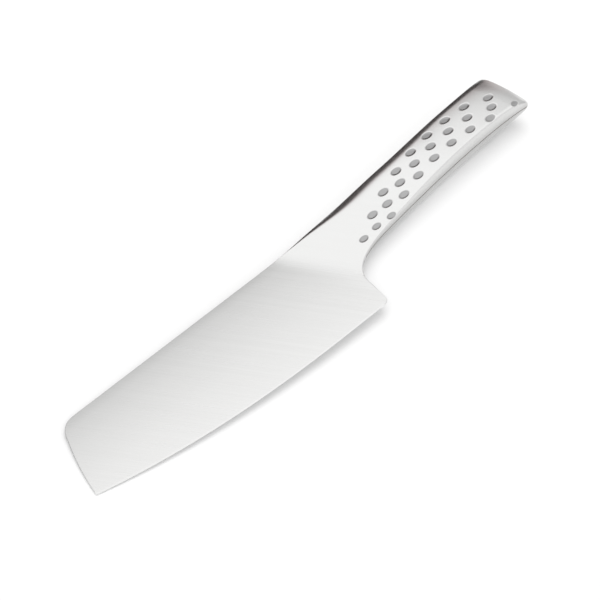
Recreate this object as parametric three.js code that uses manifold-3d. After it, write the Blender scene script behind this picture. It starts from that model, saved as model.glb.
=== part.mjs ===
// Vegetable knife: a flat ground blade welded between two pressed, dimpled handle shells.
// Millimetres. The knife is drawn in its own axes: +X from the toe to the butt along the blade's spine,
// +Y from the cutting edge to the spine, +Z out of the right side, with x = 0 at the heel and y = 0 on the
// blade's spine. At the end it is laid on its left side, as it lies on a table, with the table at z = 0.
import * as THREE from 'three';
import { ConvexHull } from 'three/addons/math/ConvexHull.js';
import Module from 'manifold-3d';

const wasm = await Module();
wasm.setup();

// Blade
const BLADE_LENGTH = 164.3;
const HEEL_DEPTH = 50.4;
const EDGE_STRAIGHT = 20;
const TOE_RISE = 14.2;
const EDGE_POWER = 2.4;
const FRONT_LEAN = 9.9;
const FRONT_BULGE = 1.9;
const FRONT_CORNER = 7.5;
const HEEL_CORNER = 4;
const SPINE_THICKNESS = 2.4;
const TIP_THICKNESS = 2.1;
const EDGE_THICKNESS = 0.4;
const BEVEL_WIDTH = 0.9;
const APEX_THICKNESS = 0.08;
const EDGE_BREAK = 0.25;

// Neck and tang
const SHOULDER_X = 8;
const TANG_END = 46;
const TANG_INSET = 5;
const TANG_CORNER = 3;

// Handle outline
const HANDLE_LENGTH = 129.6;
const GRIP_START = 24;
const SPINE_FLOW_START = -32;
const SPINE_RISE = 3.85;
const SPINE_HOLLOW = 0.56;
const SPINE_DIP = 0.62;
const SPINE_DIP_AT = 15;
const SPINE_DIP_REACH = 24;
const HANDLE_CANT = 3.16;
const FRONT_WIDTH = 25.45;
const BUTT_WIDTH = 25.35;
const BELLY_PULL_FRONT = 36;
const BELLY_PULL_BUTT = 19;
const BELLY_SLOPE_FRONT = 7.6;
const BELLY_SLOPE_BUTT = 8.8;
const NOTCH_DEPTH = 36;
const NOTCH_PULL = 11.7;
const HEEL_SETBACK = 0.3;
const COLLAR_START = -27;
const COLLAR_FOOT = 3;
const BUTT_SLANT = 8.7;
const BUTT_BULGE = 0.1;
const BUTT_CORNER = 2.4;

// Handle section
const GRIP_THICKNESS = 19;
const BUTT_THICKNESS = 15.4;
const BUTT_DROOP = 0.9;
const COLLAR_EDGE = 0.4;
const RAMP_LENGTH = 88;
const RAMP_KICK = 0.9;
const CROWN = 1.1;
const WALL_DRAFT = 0.2;
const BELLY_WALL = 5.5;
const BELLY_WALL_SHARE = 0.65;
const BELLY_ROUND = 2.4;
const BELLY_ROUND_NECK = 0.7;
const BELLY_ROUND_BUTT = 2.2;
const ROLL_WIDTH = 9.5;
const ROLL_WIDTH_BUTT = 3.2;
const ROLL_SLOPE_NECK = 0.6;
const ROLL_SLOPE = 0.42;
const ROLL_POWER = 2.5;
const ROLL_START = 52;
const SPINE_EDGE = 0.2;
const SPINE_DRAFT = 0.31;
const DRAFT_FROM = 0.38;
const DRAFT_OVER = 0.4;
const BUTT_EDGE_RADIUS = 0.8;
const BUTT_FALL_REACH = 12;
const BUTT_FALL_BELLY = 4.2;
const BUTT_FALL_SPINE = 1.2;
const SHELL_WALL = 1.4;
const CAVITY_START = 14;

// Welds and fits
const FIT = 0.1;
const ROOM_SIDE = 0.3;
const SEAM_GAP = 0.7;
const SEAM_WIDTH = 1.2;
const NECK_RELIEF = 0.2;
const NECK_WELD_WIDTH = 6;

// Dimples: three arcs, each a step nearer the belly and one dimple shorter, and one at the butt. The last
// dimple of the upper and of the middle arc stands off the arc, to follow the butt's corner.
const DIMPLE_LENGTH = 6.9;
const DIMPLE_WIDTH = 4;
const DIMPLE_DEPTH = 0.45;
const DIMPLE_TURN = -4;
const DIMPLE_ARC_RADIUS = 146.3;
const DIMPLE_ARC_TOP_X = 87.7;
const DIMPLE_ARC_TOP_Y = 1.45;
const DIMPLE_FIRST = 78.7;
const DIMPLE_PITCH = 12.85;
const DIMPLE_PITCH_LOSS = 0.2;
const DIMPLE_COLUMNS = 9;
const DIMPLE_ROWS = 3;
const DIMPLE_ROW_STEP_X = 3.2;
const DIMPLE_ROW_STEP_Y = 5.8;
const DIMPLE_ROW_LAG = 1;
const FIRST_DIMPLE_SIZE = 0.86;
const UPPER_LAST_X = 111.9;
const UPPER_LAST_Y = -2.7;
const MIDDLE_LAST_X = 109.2;
const MIDDLE_LAST_Y = -7.8;
const END_DIMPLE_X = 120.5;
const END_DIMPLE_Y = -12.9;
const END_DIMPLE_SIZE = 0.8;

// Mesh steps
const EDGE_STEPS = 22;
const CURVE_STEPS = 6;
const NECK_STEPS = 14;
const STATION_COUNT = 27;
const ROUND_STEPS = 4;
const CORNER_STEPS = 5;
const CROWN_STEPS = 6;
const ROLL_STEPS = 3;
const SAND_DENSITY = 0.2;

const v2 = (x, y) => new THREE.Vector2(x, y);
const lerp = THREE.MathUtils.lerp;
const clamp01 = (t) => THREE.MathUtils.clamp(t, 0, 1);
const ease = (t) => clamp01(t) ** 2 * (3 - 2 * clamp01(t));
const tanDeg = (degrees) => Math.tan(THREE.MathUtils.degToRad(degrees));

// Blade faces: each side is one plane that thins to the edge and, a little, to the tip.
const bladeHalf = (x, y) => SPINE_THICKNESS / 2
  + (y * (SPINE_THICKNESS - EDGE_THICKNESS)) / (2 * HEEL_DEPTH)
  + (x * (SPINE_THICKNESS - TIP_THICKNESS)) / (2 * BLADE_LENGTH);

// Cutting edge: straight at the heel, then a belly that rises to the toe.
function edgeY(x) {
  const along = Math.max(0, (-x - EDGE_STRAIGHT) / (BLADE_LENGTH - EDGE_STRAIGHT));
  return -HEEL_DEPTH + TOE_RISE * along ** EDGE_POWER;
}

// Spine side: straight on the blade, a slow rise over the neck, then the canted handle.
const hump = (t) => 16 * (t * (1 - t)) ** 2;
function spineY(x) {
  const span = GRIP_START - SPINE_FLOW_START;
  const slope = tanDeg(HANDLE_CANT);
  const t = clamp01((x - SPINE_FLOW_START) / span);
  const flow = SPINE_RISE * ease(t) + slope * span * (t ** 3 - t ** 2);
  const behind = Math.max(0, x - GRIP_START);
  const part = clamp01(behind / (HANDLE_LENGTH - GRIP_START));
  const near = clamp01((x - SPINE_DIP_AT) / (2 * SPINE_DIP_REACH) + 0.5);
  const dip = SPINE_HOLLOW * hump(part) + SPINE_DIP * hump(near);
  return flow + slope * behind - dip;
}

// Belly side: from the heel's back edge round the notch and along the handle to the butt.
const notchStart = v2(-HEEL_SETBACK, -NOTCH_DEPTH);
const gripFront = v2(GRIP_START, spineY(GRIP_START) - FRONT_WIDTH);
const buttBelly = v2(HANDLE_LENGTH, spineY(HANDLE_LENGTH) - BUTT_WIDTH);
const notchPull = gripFront.clone();
notchPull.x = notchStart.x + 1.8;
notchPull.y -= tanDeg(BELLY_SLOPE_FRONT) * (GRIP_START - notchPull.x);
const notchCurve = new THREE.CubicBezierCurve(
  notchStart,
  v2(notchStart.x, notchStart.y + NOTCH_PULL * 0.667),
  v2(lerp(GRIP_START, notchPull.x, 0.667), lerp(gripFront.y, notchPull.y, 0.667)),
  gripFront,
);
const gripCurve = new THREE.CubicBezierCurve(
  gripFront,
  v2(GRIP_START + BELLY_PULL_FRONT, gripFront.y + BELLY_PULL_FRONT * tanDeg(BELLY_SLOPE_FRONT)),
  v2(HANDLE_LENGTH - BELLY_PULL_BUTT, buttBelly.y + BELLY_PULL_BUTT * tanDeg(BELLY_SLOPE_BUTT)),
  buttBelly,
);
const belly = new THREE.CurvePath();
belly.add(notchCurve);
belly.add(gripCurve);

// Blade outline, counter-clockwise as seen from +Z, each point with its edge's kind.
function bladeOutline() {
  const points = [];
  const push = (list, kind) => list.forEach((p) => points.push({ p, kind }));
  const heel = v2(-HEEL_SETBACK, edgeY(0));
  const heelUp = v2(heel.x, heel.y + HEEL_CORNER);
  const heelIn = v2(heel.x - HEEL_CORNER, heel.y);
  push(new THREE.QuadraticBezierCurve(heelUp, heel, heelIn).getPoints(CURVE_STEPS).slice(0, -1), 'plain');
  for (let i = 0; i <= EDGE_STEPS; i += 1) {
    const x = lerp(heelIn.x, -BLADE_LENGTH, i / EDGE_STEPS);
    push([v2(x, edgeY(x))], 'edge');
  }
  const toe = v2(-BLADE_LENGTH, edgeY(-BLADE_LENGTH));
  const corner = v2(-BLADE_LENGTH + FRONT_LEAN, 0);
  const back = toe.clone().sub(corner).setLength(FRONT_CORNER).add(corner);
  const bulge = toe.clone().add(back).multiplyScalar(0.5).add(v2(-FRONT_BULGE, 0));
  const cornerEnd = v2(corner.x + FRONT_CORNER, 0);
  push(new THREE.QuadraticBezierCurve(toe, bulge, back).getPoints(CURVE_STEPS).slice(1, -1), 'plain');
  push(new THREE.QuadraticBezierCurve(back, corner, cornerEnd).getPoints(CURVE_STEPS), 'plain');
  for (let i = 0; i <= NECK_STEPS; i += 1) {
    const x = lerp(SPINE_FLOW_START, SHOULDER_X, i / NECK_STEPS);
    push([v2(x, spineY(x))], 'plain');
  }
  const last = paramAtX(notchCurve, SHOULDER_X);
  const tangTop = spineY(SHOULDER_X) - TANG_INSET;
  const tangLow = gripFront.y + TANG_INSET;
  push([
    v2(SHOULDER_X, tangTop),
    v2(TANG_END - TANG_CORNER, tangTop),
    v2(TANG_END, tangTop - TANG_CORNER),
    v2(TANG_END, tangLow + TANG_CORNER),
    v2(TANG_END - TANG_CORNER, tangLow),
    v2(SHOULDER_X, tangLow),
  ], 'plain');
  for (let i = 0; i <= NECK_STEPS; i += 1) {
    push([notchCurve.getPoint(last * (1 - i / NECK_STEPS))], 'plain');
  }
  return points.reverse();
}

function paramAtX(curve, x) {
  let low = 0;
  let high = 1;
  for (let i = 0; i < 40; i += 1) {
    const middle = (low + high) / 2;
    if (curve.getPoint(middle).x < x) low = middle;
    else high = middle;
  }
  return (low + high) / 2;
}

// A point moved square to the outline, to the inside for a positive distance.
function insetPoint(outline, i, distance) {
  const n = outline.length;
  const before = outline[(i + n - 1) % n].p;
  const here = outline[i].p;
  const after = outline[(i + 1) % n].p;
  const one = here.clone().sub(before).normalize();
  const two = after.clone().sub(here).normalize();
  const normal = v2(-one.y - two.y, one.x + two.x).normalize();
  const miter = Math.max(0.5, normal.dot(v2(-one.y, one.x)));
  return here.clone().addScaledVector(normal, distance / miter);
}

// Plate between two mirrored faces z = +-half(x, y): four rings, face, lip, lip and face.
function plate(outline, half, insetOf, lipOf) {
  const n = outline.length;
  const vertices = [];
  const rings = [[], [], [], []];
  outline.forEach((point, i) => {
    const face = insetPoint(outline, i, insetOf(point));
    const lip = insetPoint(outline, i, Math.min(0, insetOf(point)));
    const faceZ = half(face.x, face.y);
    const lipZ = lipOf(point, half(lip.x, lip.y));
    [[face, faceZ], [lip, lipZ], [lip, -lipZ], [face, -faceZ]].forEach(([p, z], ring) => {
      rings[ring].push(vertices.length / 3);
      vertices.push(p.x, p.y, z);
    });
  });
  const contour = outline.map((point, i) => insetPoint(outline, i, insetOf(point)));
  const cap = THREE.ShapeUtils.triangulateShape(contour, []);
  const triangles = [];
  cap.forEach(([a, b, c]) => {
    triangles.push(rings[0][a], rings[0][b], rings[0][c]);
    triangles.push(rings[3][a], rings[3][c], rings[3][b]);
  });
  for (let ring = 0; ring < 3; ring += 1) {
    for (let i = 0; i < n; i += 1) {
      const j = (i + 1) % n;
      const [a, b] = [rings[ring][i], rings[ring][j]];
      const [c, d] = [rings[ring + 1][j], rings[ring + 1][i]];
      triangles.push(a, d, c, a, c, b);
    }
  }
  return solid(vertices, triangles);
}

// A solid from vertices and triangles, turned inside out if its volume came out negative.
function solid(vertices, triangles) {
  let volume = 0;
  const at = (k) => new THREE.Vector3().fromArray(vertices, 3 * k);
  for (let k = 0; k < triangles.length; k += 3) {
    const [a, b, c] = [at(triangles[k]), at(triangles[k + 1]), at(triangles[k + 2])];
    volume += a.dot(b.cross(c));
  }
  const faces = volume < 0 ? triangles.slice().reverse() : triangles;
  return new wasm.Manifold(new wasm.Mesh({
    numProp: 3,
    vertProperties: new Float32Array(vertices),
    triVerts: new Uint32Array(faces),
  }));
}

// Handle stations: lines across the plan from the belly to the spine, slanted as the collar at the front and
// as the butt at the rear. Returns both ends of station s, from 0 at the collar to 1 at the butt.
const collarAt = COLLAR_FOOT / belly.getLength();
const stationLength = (HANDLE_LENGTH - BUTT_SLANT - COLLAR_START + HANDLE_LENGTH) / 2;
function station(s) {
  const spineX = lerp(COLLAR_START, HANDLE_LENGTH - BUTT_SLANT, s);
  const from = belly.getPointAt(lerp(collarAt, 1, s));
  const to = v2(spineX, spineY(spineX));
  const across = to.clone().sub(from).normalize();
  return { from, to, across };
}

// Half thickness of the handle along its length: a ramp up from the blade, a full grip, a thinner butt.
const rampAt = (s) => {
  const q = clamp01((s * stationLength) / RAMP_LENGTH);
  return RAMP_KICK * q * (1 - q) ** 2 + ease(q);
};
const gripHalf = (s) => lerp(GRIP_THICKNESS, BUTT_THICKNESS, clamp01((s - 0.6) / 0.4) ** 4) / 2;
function topZ(s, x, y, t) {
  const droop = BUTT_DROOP * ease((s - 0.7) / 0.3) * (1 - t) ** 2;
  const nearEnd = clamp01(1 - ((1 - s) * stationLength) / BUTT_FALL_REACH);
  const fall = lerp(BUTT_FALL_BELLY, BUTT_FALL_SPINE, t) * nearEnd ** 2;
  const full = gripHalf(s) - CROWN * (2 * t - 1) ** 2 - droop - fall;
  return lerp(bladeHalf(x, y) + COLLAR_EDGE, full, rampAt(s));
}

// Fall of the roll-off towards the spine, at a distance into a roll of the given width.
const rollDrop = (distance, roll, slope) => ((slope * roll) / ROLL_POWER) * (distance / roll) ** ROLL_POWER;

// Width and end slope of the roll-off, and lean of the spine wall, at station s.
function spineShape(s) {
  const widest = lerp(ROLL_WIDTH, ROLL_WIDTH_BUTT, ease((s - 0.24) / 0.56));
  const roll = Math.max(0.2, widest * ease((s * stationLength) / ROLL_START));
  const slope = lerp(ROLL_SLOPE_NECK, ROLL_SLOPE, ease((s - 0.2) / 0.25));
  const edgeHeight = lerp(COLLAR_EDGE, gripHalf(s) - CROWN, rampAt(s)) - rollDrop(roll, roll, slope);
  const draft = SPINE_DRAFT * (1 - ease((s - DRAFT_FROM) / DRAFT_OVER));
  return { roll, slope, lean: WALL_DRAFT + Math.max(0, edgeHeight) * draft };
}

// One station's section as [x, y, z]: belly wall, belly round, crown, roll-off and spine wall.
function section(s, inset, rim) {
  const line = station(s);
  const behind = Math.max(0, (1 - s) * stationLength - inset);
  const round = (radius) => {
    const short = Math.max(0, radius - behind);
    return radius - Math.sqrt(Math.max(0, radius ** 2 - short ** 2));
  };
  const planCorner = Math.max(0.5, BUTT_CORNER - inset);
  const edgeRound = Math.max(0.5, BUTT_EDGE_RADIUS - inset);
  const shift = inset + round(planCorner);
  const width = line.from.distanceTo(line.to) - 2 * shift;
  const bulge = BUTT_BULGE * ease((s - 0.55) / 0.45);
  const { roll, slope, lean } = spineShape(s);
  const rollFrom = width - lean - roll;
  const place = (d, z) => {
    const p = line.from.clone().addScaledVector(line.across, shift + d);
    const t = d / width;
    return [p.x + bulge * 4 * t * (1 - t), p.y, z];
  };
  const crownZ = (d) => {
    const p = line.from.clone().addScaledVector(line.across, shift + d);
    const t = (shift + d) / line.from.distanceTo(line.to);
    const rolled = rollDrop(Math.max(0, d - rollFrom), roll, slope);
    return topZ(s, p.x, p.y, t) - rolled - inset - round(edgeRound);
  };
  const toButt = ease((s - 0.6) / 0.4);
  const gripRound = lerp(BELLY_ROUND_NECK, BELLY_ROUND, ease((s - 0.1) / 0.6));
  const wantedRound = lerp(gripRound, BELLY_ROUND_BUTT, toButt);
  const roundY = Math.max(0.2, Math.min(wantedRound, width * 0.3) - inset);
  const low = WALL_DRAFT + roundY;
  const room = Math.max(0.05, crownZ(low) - Math.max(rim, 0));
  const roundZ = room - Math.min(BELLY_WALL, room * BELLY_WALL_SHARE);
  const edgeRadius = Math.max(0.05, Math.min(SPINE_EDGE, 0.4 * (crownZ(width - lean) - rim)));
  const rollEnd = width - lean - edgeRadius;
  const points = [place(0, rim)];
  for (let i = 0; i <= CORNER_STEPS; i += 1) {
    const turn = (i / CORNER_STEPS) * Math.PI / 2;
    const d = WALL_DRAFT + roundY * (1 - Math.cos(turn));
    points.push(place(d, crownZ(d) - roundZ * (1 - Math.sin(turn))));
  }
  for (let i = 1; i <= CROWN_STEPS; i += 1) {
    const d = lerp(low, Math.min(rollFrom, rollEnd - 0.05), i / CROWN_STEPS);
    points.push(place(d, crownZ(d)));
  }
  for (let i = 1; i <= ROLL_STEPS; i += 1) {
    const d = lerp(Math.min(rollFrom, rollEnd - 0.05), rollEnd, i / ROLL_STEPS);
    points.push(place(d, crownZ(d)));
  }
  const wallTop = crownZ(rollEnd) - edgeRadius;
  points.push(place(width - lean, wallTop));
  points.push(place(width - (lean * rim) / wallTop, rim));
  return points;
}

// Station positions: even along the handle, then the steps of the rounded butt.
function stations(first, inset) {
  const roundLength = Math.max(EDGE_BREAK, Math.max(BUTT_CORNER, BUTT_EDGE_RADIUS) - inset);
  const end = 1 - inset / stationLength;
  const straightEnd = end - roundLength / stationLength;
  const list = [];
  for (let i = 0; i <= STATION_COUNT; i += 1) list.push(lerp(first, straightEnd, i / STATION_COUNT));
  for (let i = 1; i <= ROUND_STEPS; i += 1) {
    const turn = (i / ROUND_STEPS) * Math.PI / 2;
    list.push(lerp(straightEnd, end, Math.sin(turn)));
  }
  return list;
}

// Closed body of the handle shrunk all round by an inset: the right half from a flat rim up, or both halves.
function handleBody(first, inset, rim, both = false) {
  const rows = stations(first, inset).map((s) => section(s, inset, rim));
  const n = rows.length;
  const m = rows[0].length;
  const vertices = rows.flat(2);
  const low = [];
  rows.forEach((row, i) => {
    low.push(row.map(([x, y, z], j) => {
      if (j === 0 || j === m - 1) return i * m + j;
      vertices.push(x, y, both ? -z : rim);
      return vertices.length / 3 - 1;
    }));
  });
  const triangles = [];
  const quad = (a, b, c, d) => {
    if (a !== b && b !== c && a !== c) triangles.push(a, b, c);
    if (a !== c && c !== d && a !== d) triangles.push(a, c, d);
  };
  const top = (i, j) => i * m + j;
  for (let i = 0; i + 1 < n; i += 1) {
    for (let j = 0; j + 1 < m; j += 1) {
      quad(top(i, j), top(i + 1, j), top(i + 1, j + 1), top(i, j + 1));
      quad(low[i][j], low[i][j + 1], low[i + 1][j + 1], low[i + 1][j]);
    }
  }
  for (let j = 0; j + 1 < m; j += 1) {
    quad(top(0, j), top(0, j + 1), low[0][j + 1], low[0][j]);
    quad(top(n - 1, j), low[n - 1][j], low[n - 1][j + 1], top(n - 1, j + 1));
  }
  return solid(vertices, triangles);
}

// The biggest of the bodies a cut leaves, without its crumbs.
function largest(body) {
  return body.decompose().sort((a, b) => b.volume() - a.volume())[0];
}

// Where a plan point lies on the stations: s along the handle, t across it, and the width there.
function locate(p) {
  let low = 0;
  let high = 1;
  for (let i = 0; i < 40; i += 1) {
    const middle = (low + high) / 2;
    const line = station(middle);
    const side = p.clone().sub(line.from).cross(line.across);
    if (side > 0) low = middle;
    else high = middle;
  }
  const line = station(low);
  const width = line.from.distanceTo(line.to);
  return { s: low, t: p.clone().sub(line.from).dot(line.across) / width, width };
}

function surfaceAt(x, y) {
  const { s, t, width } = locate(v2(x, y));
  const { roll, slope, lean } = spineShape(s);
  const intoRoll = Math.max(0, t * width - (width - lean - roll));
  return topZ(s, x, y, t) - rollDrop(intoRoll, roll, slope);
}

// Dimple places and sizes.
function dimplePlaces() {
  const places = [];
  for (let row = 0; row < DIMPLE_ROWS; row += 1) {
    for (let column = row; column < DIMPLE_COLUMNS; column += 1) {
      const pitch = DIMPLE_PITCH - DIMPLE_PITCH_LOSS * row;
      const angle = (DIMPLE_FIRST - pitch * column - DIMPLE_ROW_LAG * row) / DIMPLE_ARC_RADIUS;
      const drop = DIMPLE_ARC_RADIUS * (1 - Math.cos(angle));
      places.push({
        x: DIMPLE_ARC_TOP_X - DIMPLE_ROW_STEP_X * row - DIMPLE_ARC_RADIUS * Math.sin(angle),
        y: DIMPLE_ARC_TOP_Y - DIMPLE_ROW_STEP_Y * row - drop,
        size: column === row ? FIRST_DIMPLE_SIZE : 1,
      });
    }
  }
  const upperLast = places[DIMPLE_COLUMNS - 1];
  const middleLast = places[2 * DIMPLE_COLUMNS - 2];
  Object.assign(upperLast, { x: UPPER_LAST_X, y: UPPER_LAST_Y });
  Object.assign(middleLast, { x: MIDDLE_LAST_X, y: MIDDLE_LAST_Y });
  places.push({ x: END_DIMPLE_X, y: END_DIMPLE_Y, size: END_DIMPLE_SIZE });
  return places;
}

// Cutter for one dimple: an oval prism that stands square to the shell.
function dimpleCutter({ x, y, size }) {
  const oval = new THREE.Shape();
  oval.absellipse(0, 0, (size * DIMPLE_LENGTH) / 2, (size * DIMPLE_WIDTH) / 2, 0, 2 * Math.PI, false, 0);
  const geometry = new THREE.ExtrudeGeometry(oval, {
    depth: DIMPLE_DEPTH + SHELL_WALL,
    bevelEnabled: false,
    curveSegments: 7,
    steps: 1,
  });
  geometry.rotateZ(THREE.MathUtils.degToRad(DIMPLE_TURN));
  geometry.translate(0, 0, -DIMPLE_DEPTH);
  const reach = 1;
  const slopeX = (surfaceAt(x + reach, y) - surfaceAt(x - reach, y)) / (2 * reach);
  const slopeY = (surfaceAt(x, y + reach) - surfaceAt(x, y - reach)) / (2 * reach);
  const normal = new THREE.Vector3(-slopeX, -slopeY, 1).normalize();
  const turn = new THREE.Quaternion().setFromUnitVectors(new THREE.Vector3(0, 0, 1), normal);
  geometry.applyQuaternion(turn);
  geometry.translate(x, y, surfaceAt(x, y));
  return fromGeometry(geometry);
}

// A closed solid from a geometry class, its vertices joined by place.
function fromGeometry(geometry) {
  const source = geometry.getAttribute('position');
  const index = geometry.getIndex();
  const count = index ? index.count : source.count;
  const vertices = [];
  const known = new Map();
  const triangles = [];
  for (let k = 0; k < count; k += 1) {
    const i = index ? index.getX(k) : k;
    const p = [source.getX(i), source.getY(i), source.getZ(i)];
    const key = p.map((value) => Math.round(value * 1e5)).join(' ');
    if (!known.has(key)) {
      known.set(key, vertices.length / 3);
      vertices.push(...p);
    }
    triangles.push(known.get(key));
  }
  return solid(vertices, triangles);
}

function toGeometry(body, mirrored = false) {
  const mesh = body.getMesh();
  const points = [];
  for (let k = 0; k < mesh.vertProperties.length; k += mesh.numProp) {
    const [x, y, z] = mesh.vertProperties.slice(k, k + 3);
    points.push(x, y, mirrored ? -z : z);
  }
  const faces = Array.from(mesh.triVerts);
  if (mirrored) faces.reverse();
  const geometry = new THREE.BufferGeometry();
  geometry.setAttribute('position', new THREE.Float32BufferAttribute(points, 3));
  geometry.setIndex(faces);
  geometry.computeVertexNormals();
  return geometry;
}

// Seam filler: a strip of the given chain of outline points, laid between the two rims.
function seamStrip(chain) {
  const outer = chain.map(({ p }) => p);
  const inner = chain.map(({ p, inward }) => p.clone().addScaledVector(inward, SEAM_WIDTH));
  const depth = SEAM_GAP - 2 * FIT;
  const geometry = new THREE.ExtrudeGeometry(new THREE.Shape([...outer, ...inner.reverse()]), {
    depth,
    bevelEnabled: false,
    steps: 1,
  });
  geometry.translate(0, 0, -depth / 2);
  return fromGeometry(geometry);
}

// The handle's outline at the seam, behind the blade's shoulder: belly, butt and spine stretches.
function seamChains() {
  const rim = SEAM_GAP / 2;
  const list = stations(0, 0);
  const spineColumn = section(0, 0, rim).length - 1;
  const pointAt = (s, column) => {
    const [x, y] = section(s, 0, rim)[column];
    return v2(x, y);
  };
  const startOf = (column) => {
    let low = 0;
    let high = 1;
    for (let i = 0; i < 30; i += 1) {
      const middle = (low + high) / 2;
      if (pointAt(middle, column).x < SHOULDER_X + SEAM_WIDTH) low = middle;
      else high = middle;
    }
    return high;
  };
  const side = (column, turn) => {
    const start = startOf(column);
    const kept = [start, ...list.filter((s) => s > start + 0.01).slice(0, -1)];
    return kept.map((s) => ({
      p: pointAt(s, column),
      inward: station(s).across.clone().multiplyScalar(turn),
    }));
  };
  const butt = section(list[list.length - 1], 0, rim).map(([x, y]) => ({ p: v2(x, y), inward: v2(-1, 0) }));
  return {
    belly_seam_weld: side(0, 1),
    spine_seam_weld: side(spineColumn, -1),
    butt_seam_weld: butt.slice(1, -1),
  };
}

// A point ahead of the right shell's collar, by a share of the way from the belly to the spine.
const collar = station(0);
const collarForward = v2(-collar.across.y, collar.across.x);
function aheadOfCollar(distance, share) {
  return collar.from.clone().lerp(collar.to, share).addScaledVector(collarForward, distance);
}

// Relief in the blade's right face, from the neck weld's front edge back under the shells.
function neckRelief() {
  const front = NECK_WELD_WIDTH + 2 * FIT;
  const corners = [
    aheadOfCollar(front, -1),
    aheadOfCollar(-4 * TANG_END, -1),
    aheadOfCollar(-4 * TANG_END, 2),
    aheadOfCollar(front, 2),
  ];
  const geometry = new THREE.ExtrudeGeometry(new THREE.Shape(corners), {
    depth: SPINE_THICKNESS,
    bevelEnabled: false,
    steps: 1,
  });
  const position = geometry.getAttribute('position');
  for (let i = 0; i < position.count; i += 1) {
    const face = bladeHalf(position.getX(i), position.getY(i));
    position.setZ(i, position.getZ(i) + face - NECK_RELIEF);
  }
  return geometry;
}

// Neck filler: a fillet that thins from the right shell's collar edge to nothing on the blade's face.
function neckWeld() {
  const foot = aheadOfCollar(FIT, 0).addScaledVector(collar.across, EDGE_BREAK + FIT);
  const head = aheadOfCollar(FIT, 1).addScaledVector(collar.across, -EDGE_BREAK - FIT);
  const footOut = aheadOfCollar(NECK_WELD_WIDTH, 0);
  const headOut = aheadOfCollar(NECK_WELD_WIDTH, 1);
  headOut.y = Math.min(headOut.y, spineY(headOut.x) - EDGE_BREAK);
  footOut.x = Math.min(footOut.x, -HEEL_SETBACK - EDGE_BREAK);
  const corners = [foot, head, headOut, footOut];
  const heights = [COLLAR_EDGE, COLLAR_EDGE, 0, 0];
  const vertices = [];
  corners.forEach((p) => vertices.push(p.x, p.y, bladeHalf(p.x, p.y) - NECK_RELIEF + FIT));
  corners.forEach((p, i) => vertices.push(p.x, p.y, bladeHalf(p.x, p.y) + heights[i]));
  const triangles = [0, 2, 1, 0, 3, 2, 4, 5, 6, 4, 6, 7];
  for (let i = 0; i < 4; i += 1) {
    const j = (i + 1) % 4;
    triangles.push(i, j, j + 4, i, j + 4, i + 4);
  }
  return solid(vertices, triangles);
}

// Pieces
const outline = bladeOutline();
const reliefGeometry = neckRelief();
const relief = fromGeometry(reliefGeometry);
const reliefBelow = fromGeometry(reliefGeometry.clone().scale(1, 1, -1));
const blade = plate(
  outline,
  bladeHalf,
  ({ kind }) => (kind === 'edge' ? BEVEL_WIDTH : EDGE_BREAK),
  ({ kind }, half) => (kind === 'edge' ? APEX_THICKNESS / 2 : half - EDGE_BREAK),
).subtract(relief).subtract(reliefBelow);
const bladeRoom = plate(
  outline,
  (x, y) => bladeHalf(x, y) - NECK_RELIEF + FIT,
  () => -ROOM_SIDE,
  (point, half) => half,
);
const cavityFrom = CAVITY_START / stationLength;
const cavity = handleBody(cavityFrom, SHELL_WALL, -SEAM_GAP);
let shell = handleBody(0, 0, SEAM_GAP / 2).subtract(cavity).subtract(bladeRoom);
dimplePlaces().forEach((place) => {
  shell = shell.subtract(dimpleCutter(place));
});
shell = largest(shell);
const sandFill = handleBody(cavityFrom, SHELL_WALL + FIT, 0, true);
const sandRoom = new THREE.BoxGeometry(2 * HANDLE_LENGTH, 2 * HANDLE_LENGTH, GRIP_THICKNESS);
sandRoom.translate(HANDLE_LENGTH + SHOULDER_X + 2 * ROOM_SIDE, 0, 0);
const sand = largest(sandFill.intersect(fromGeometry(sandRoom)).subtract(bladeRoom));
const neck = neckWeld();
const seams = seamChains();

// Materials
const steel = (color, roughness) => new THREE.MeshStandardMaterial({ color, roughness, metalness: 1 });
const knife = new THREE.Group();
function add(name, geometry, material) {
  const mesh = new THREE.Mesh(geometry, material);
  mesh.name = name;
  knife.add(mesh);
}
add('blade', toGeometry(blade), steel(0xd2d3d2, 0.34));
add('right_handle_shell', toGeometry(shell), steel(0xd9d9d8, 0.3));
add('left_handle_shell', toGeometry(shell, true), steel(0xd9d9d8, 0.3));
add('right_neck_weld', toGeometry(neck), steel(0xcfcfce, 0.34));
add('left_neck_weld', toGeometry(neck, true), steel(0xcfcfce, 0.34));
Object.entries(seams).forEach(([name, chain]) => {
  add(name, toGeometry(seamStrip(chain)), steel(0xb9b9b8, 0.38));
});
add('balance_sand', toGeometry(sand), new THREE.MeshStandardMaterial({
  color: 0xb59f7c,
  roughness: 0.95,
  metalness: 0,
}));

// Volume and centre of one mesh, from the tetrahedra under its triangles.
function volumeAndCentre(geometry) {
  const position = geometry.getAttribute('position');
  const index = geometry.getIndex();
  const centre = new THREE.Vector3();
  let volume = 0;
  for (let k = 0; k < index.count; k += 3) {
    const [a, b, c] = [0, 1, 2].map((i) => new THREE.Vector3().fromBufferAttribute(position, index.getX(k + i)));
    const part = a.dot(new THREE.Vector3().crossVectors(b, c)) / 6;
    volume += part;
    centre.addScaledVector(a.add(b).add(c), part / 4);
  }
  return { volume, centre: centre.divideScalar(volume) };
}

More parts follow.
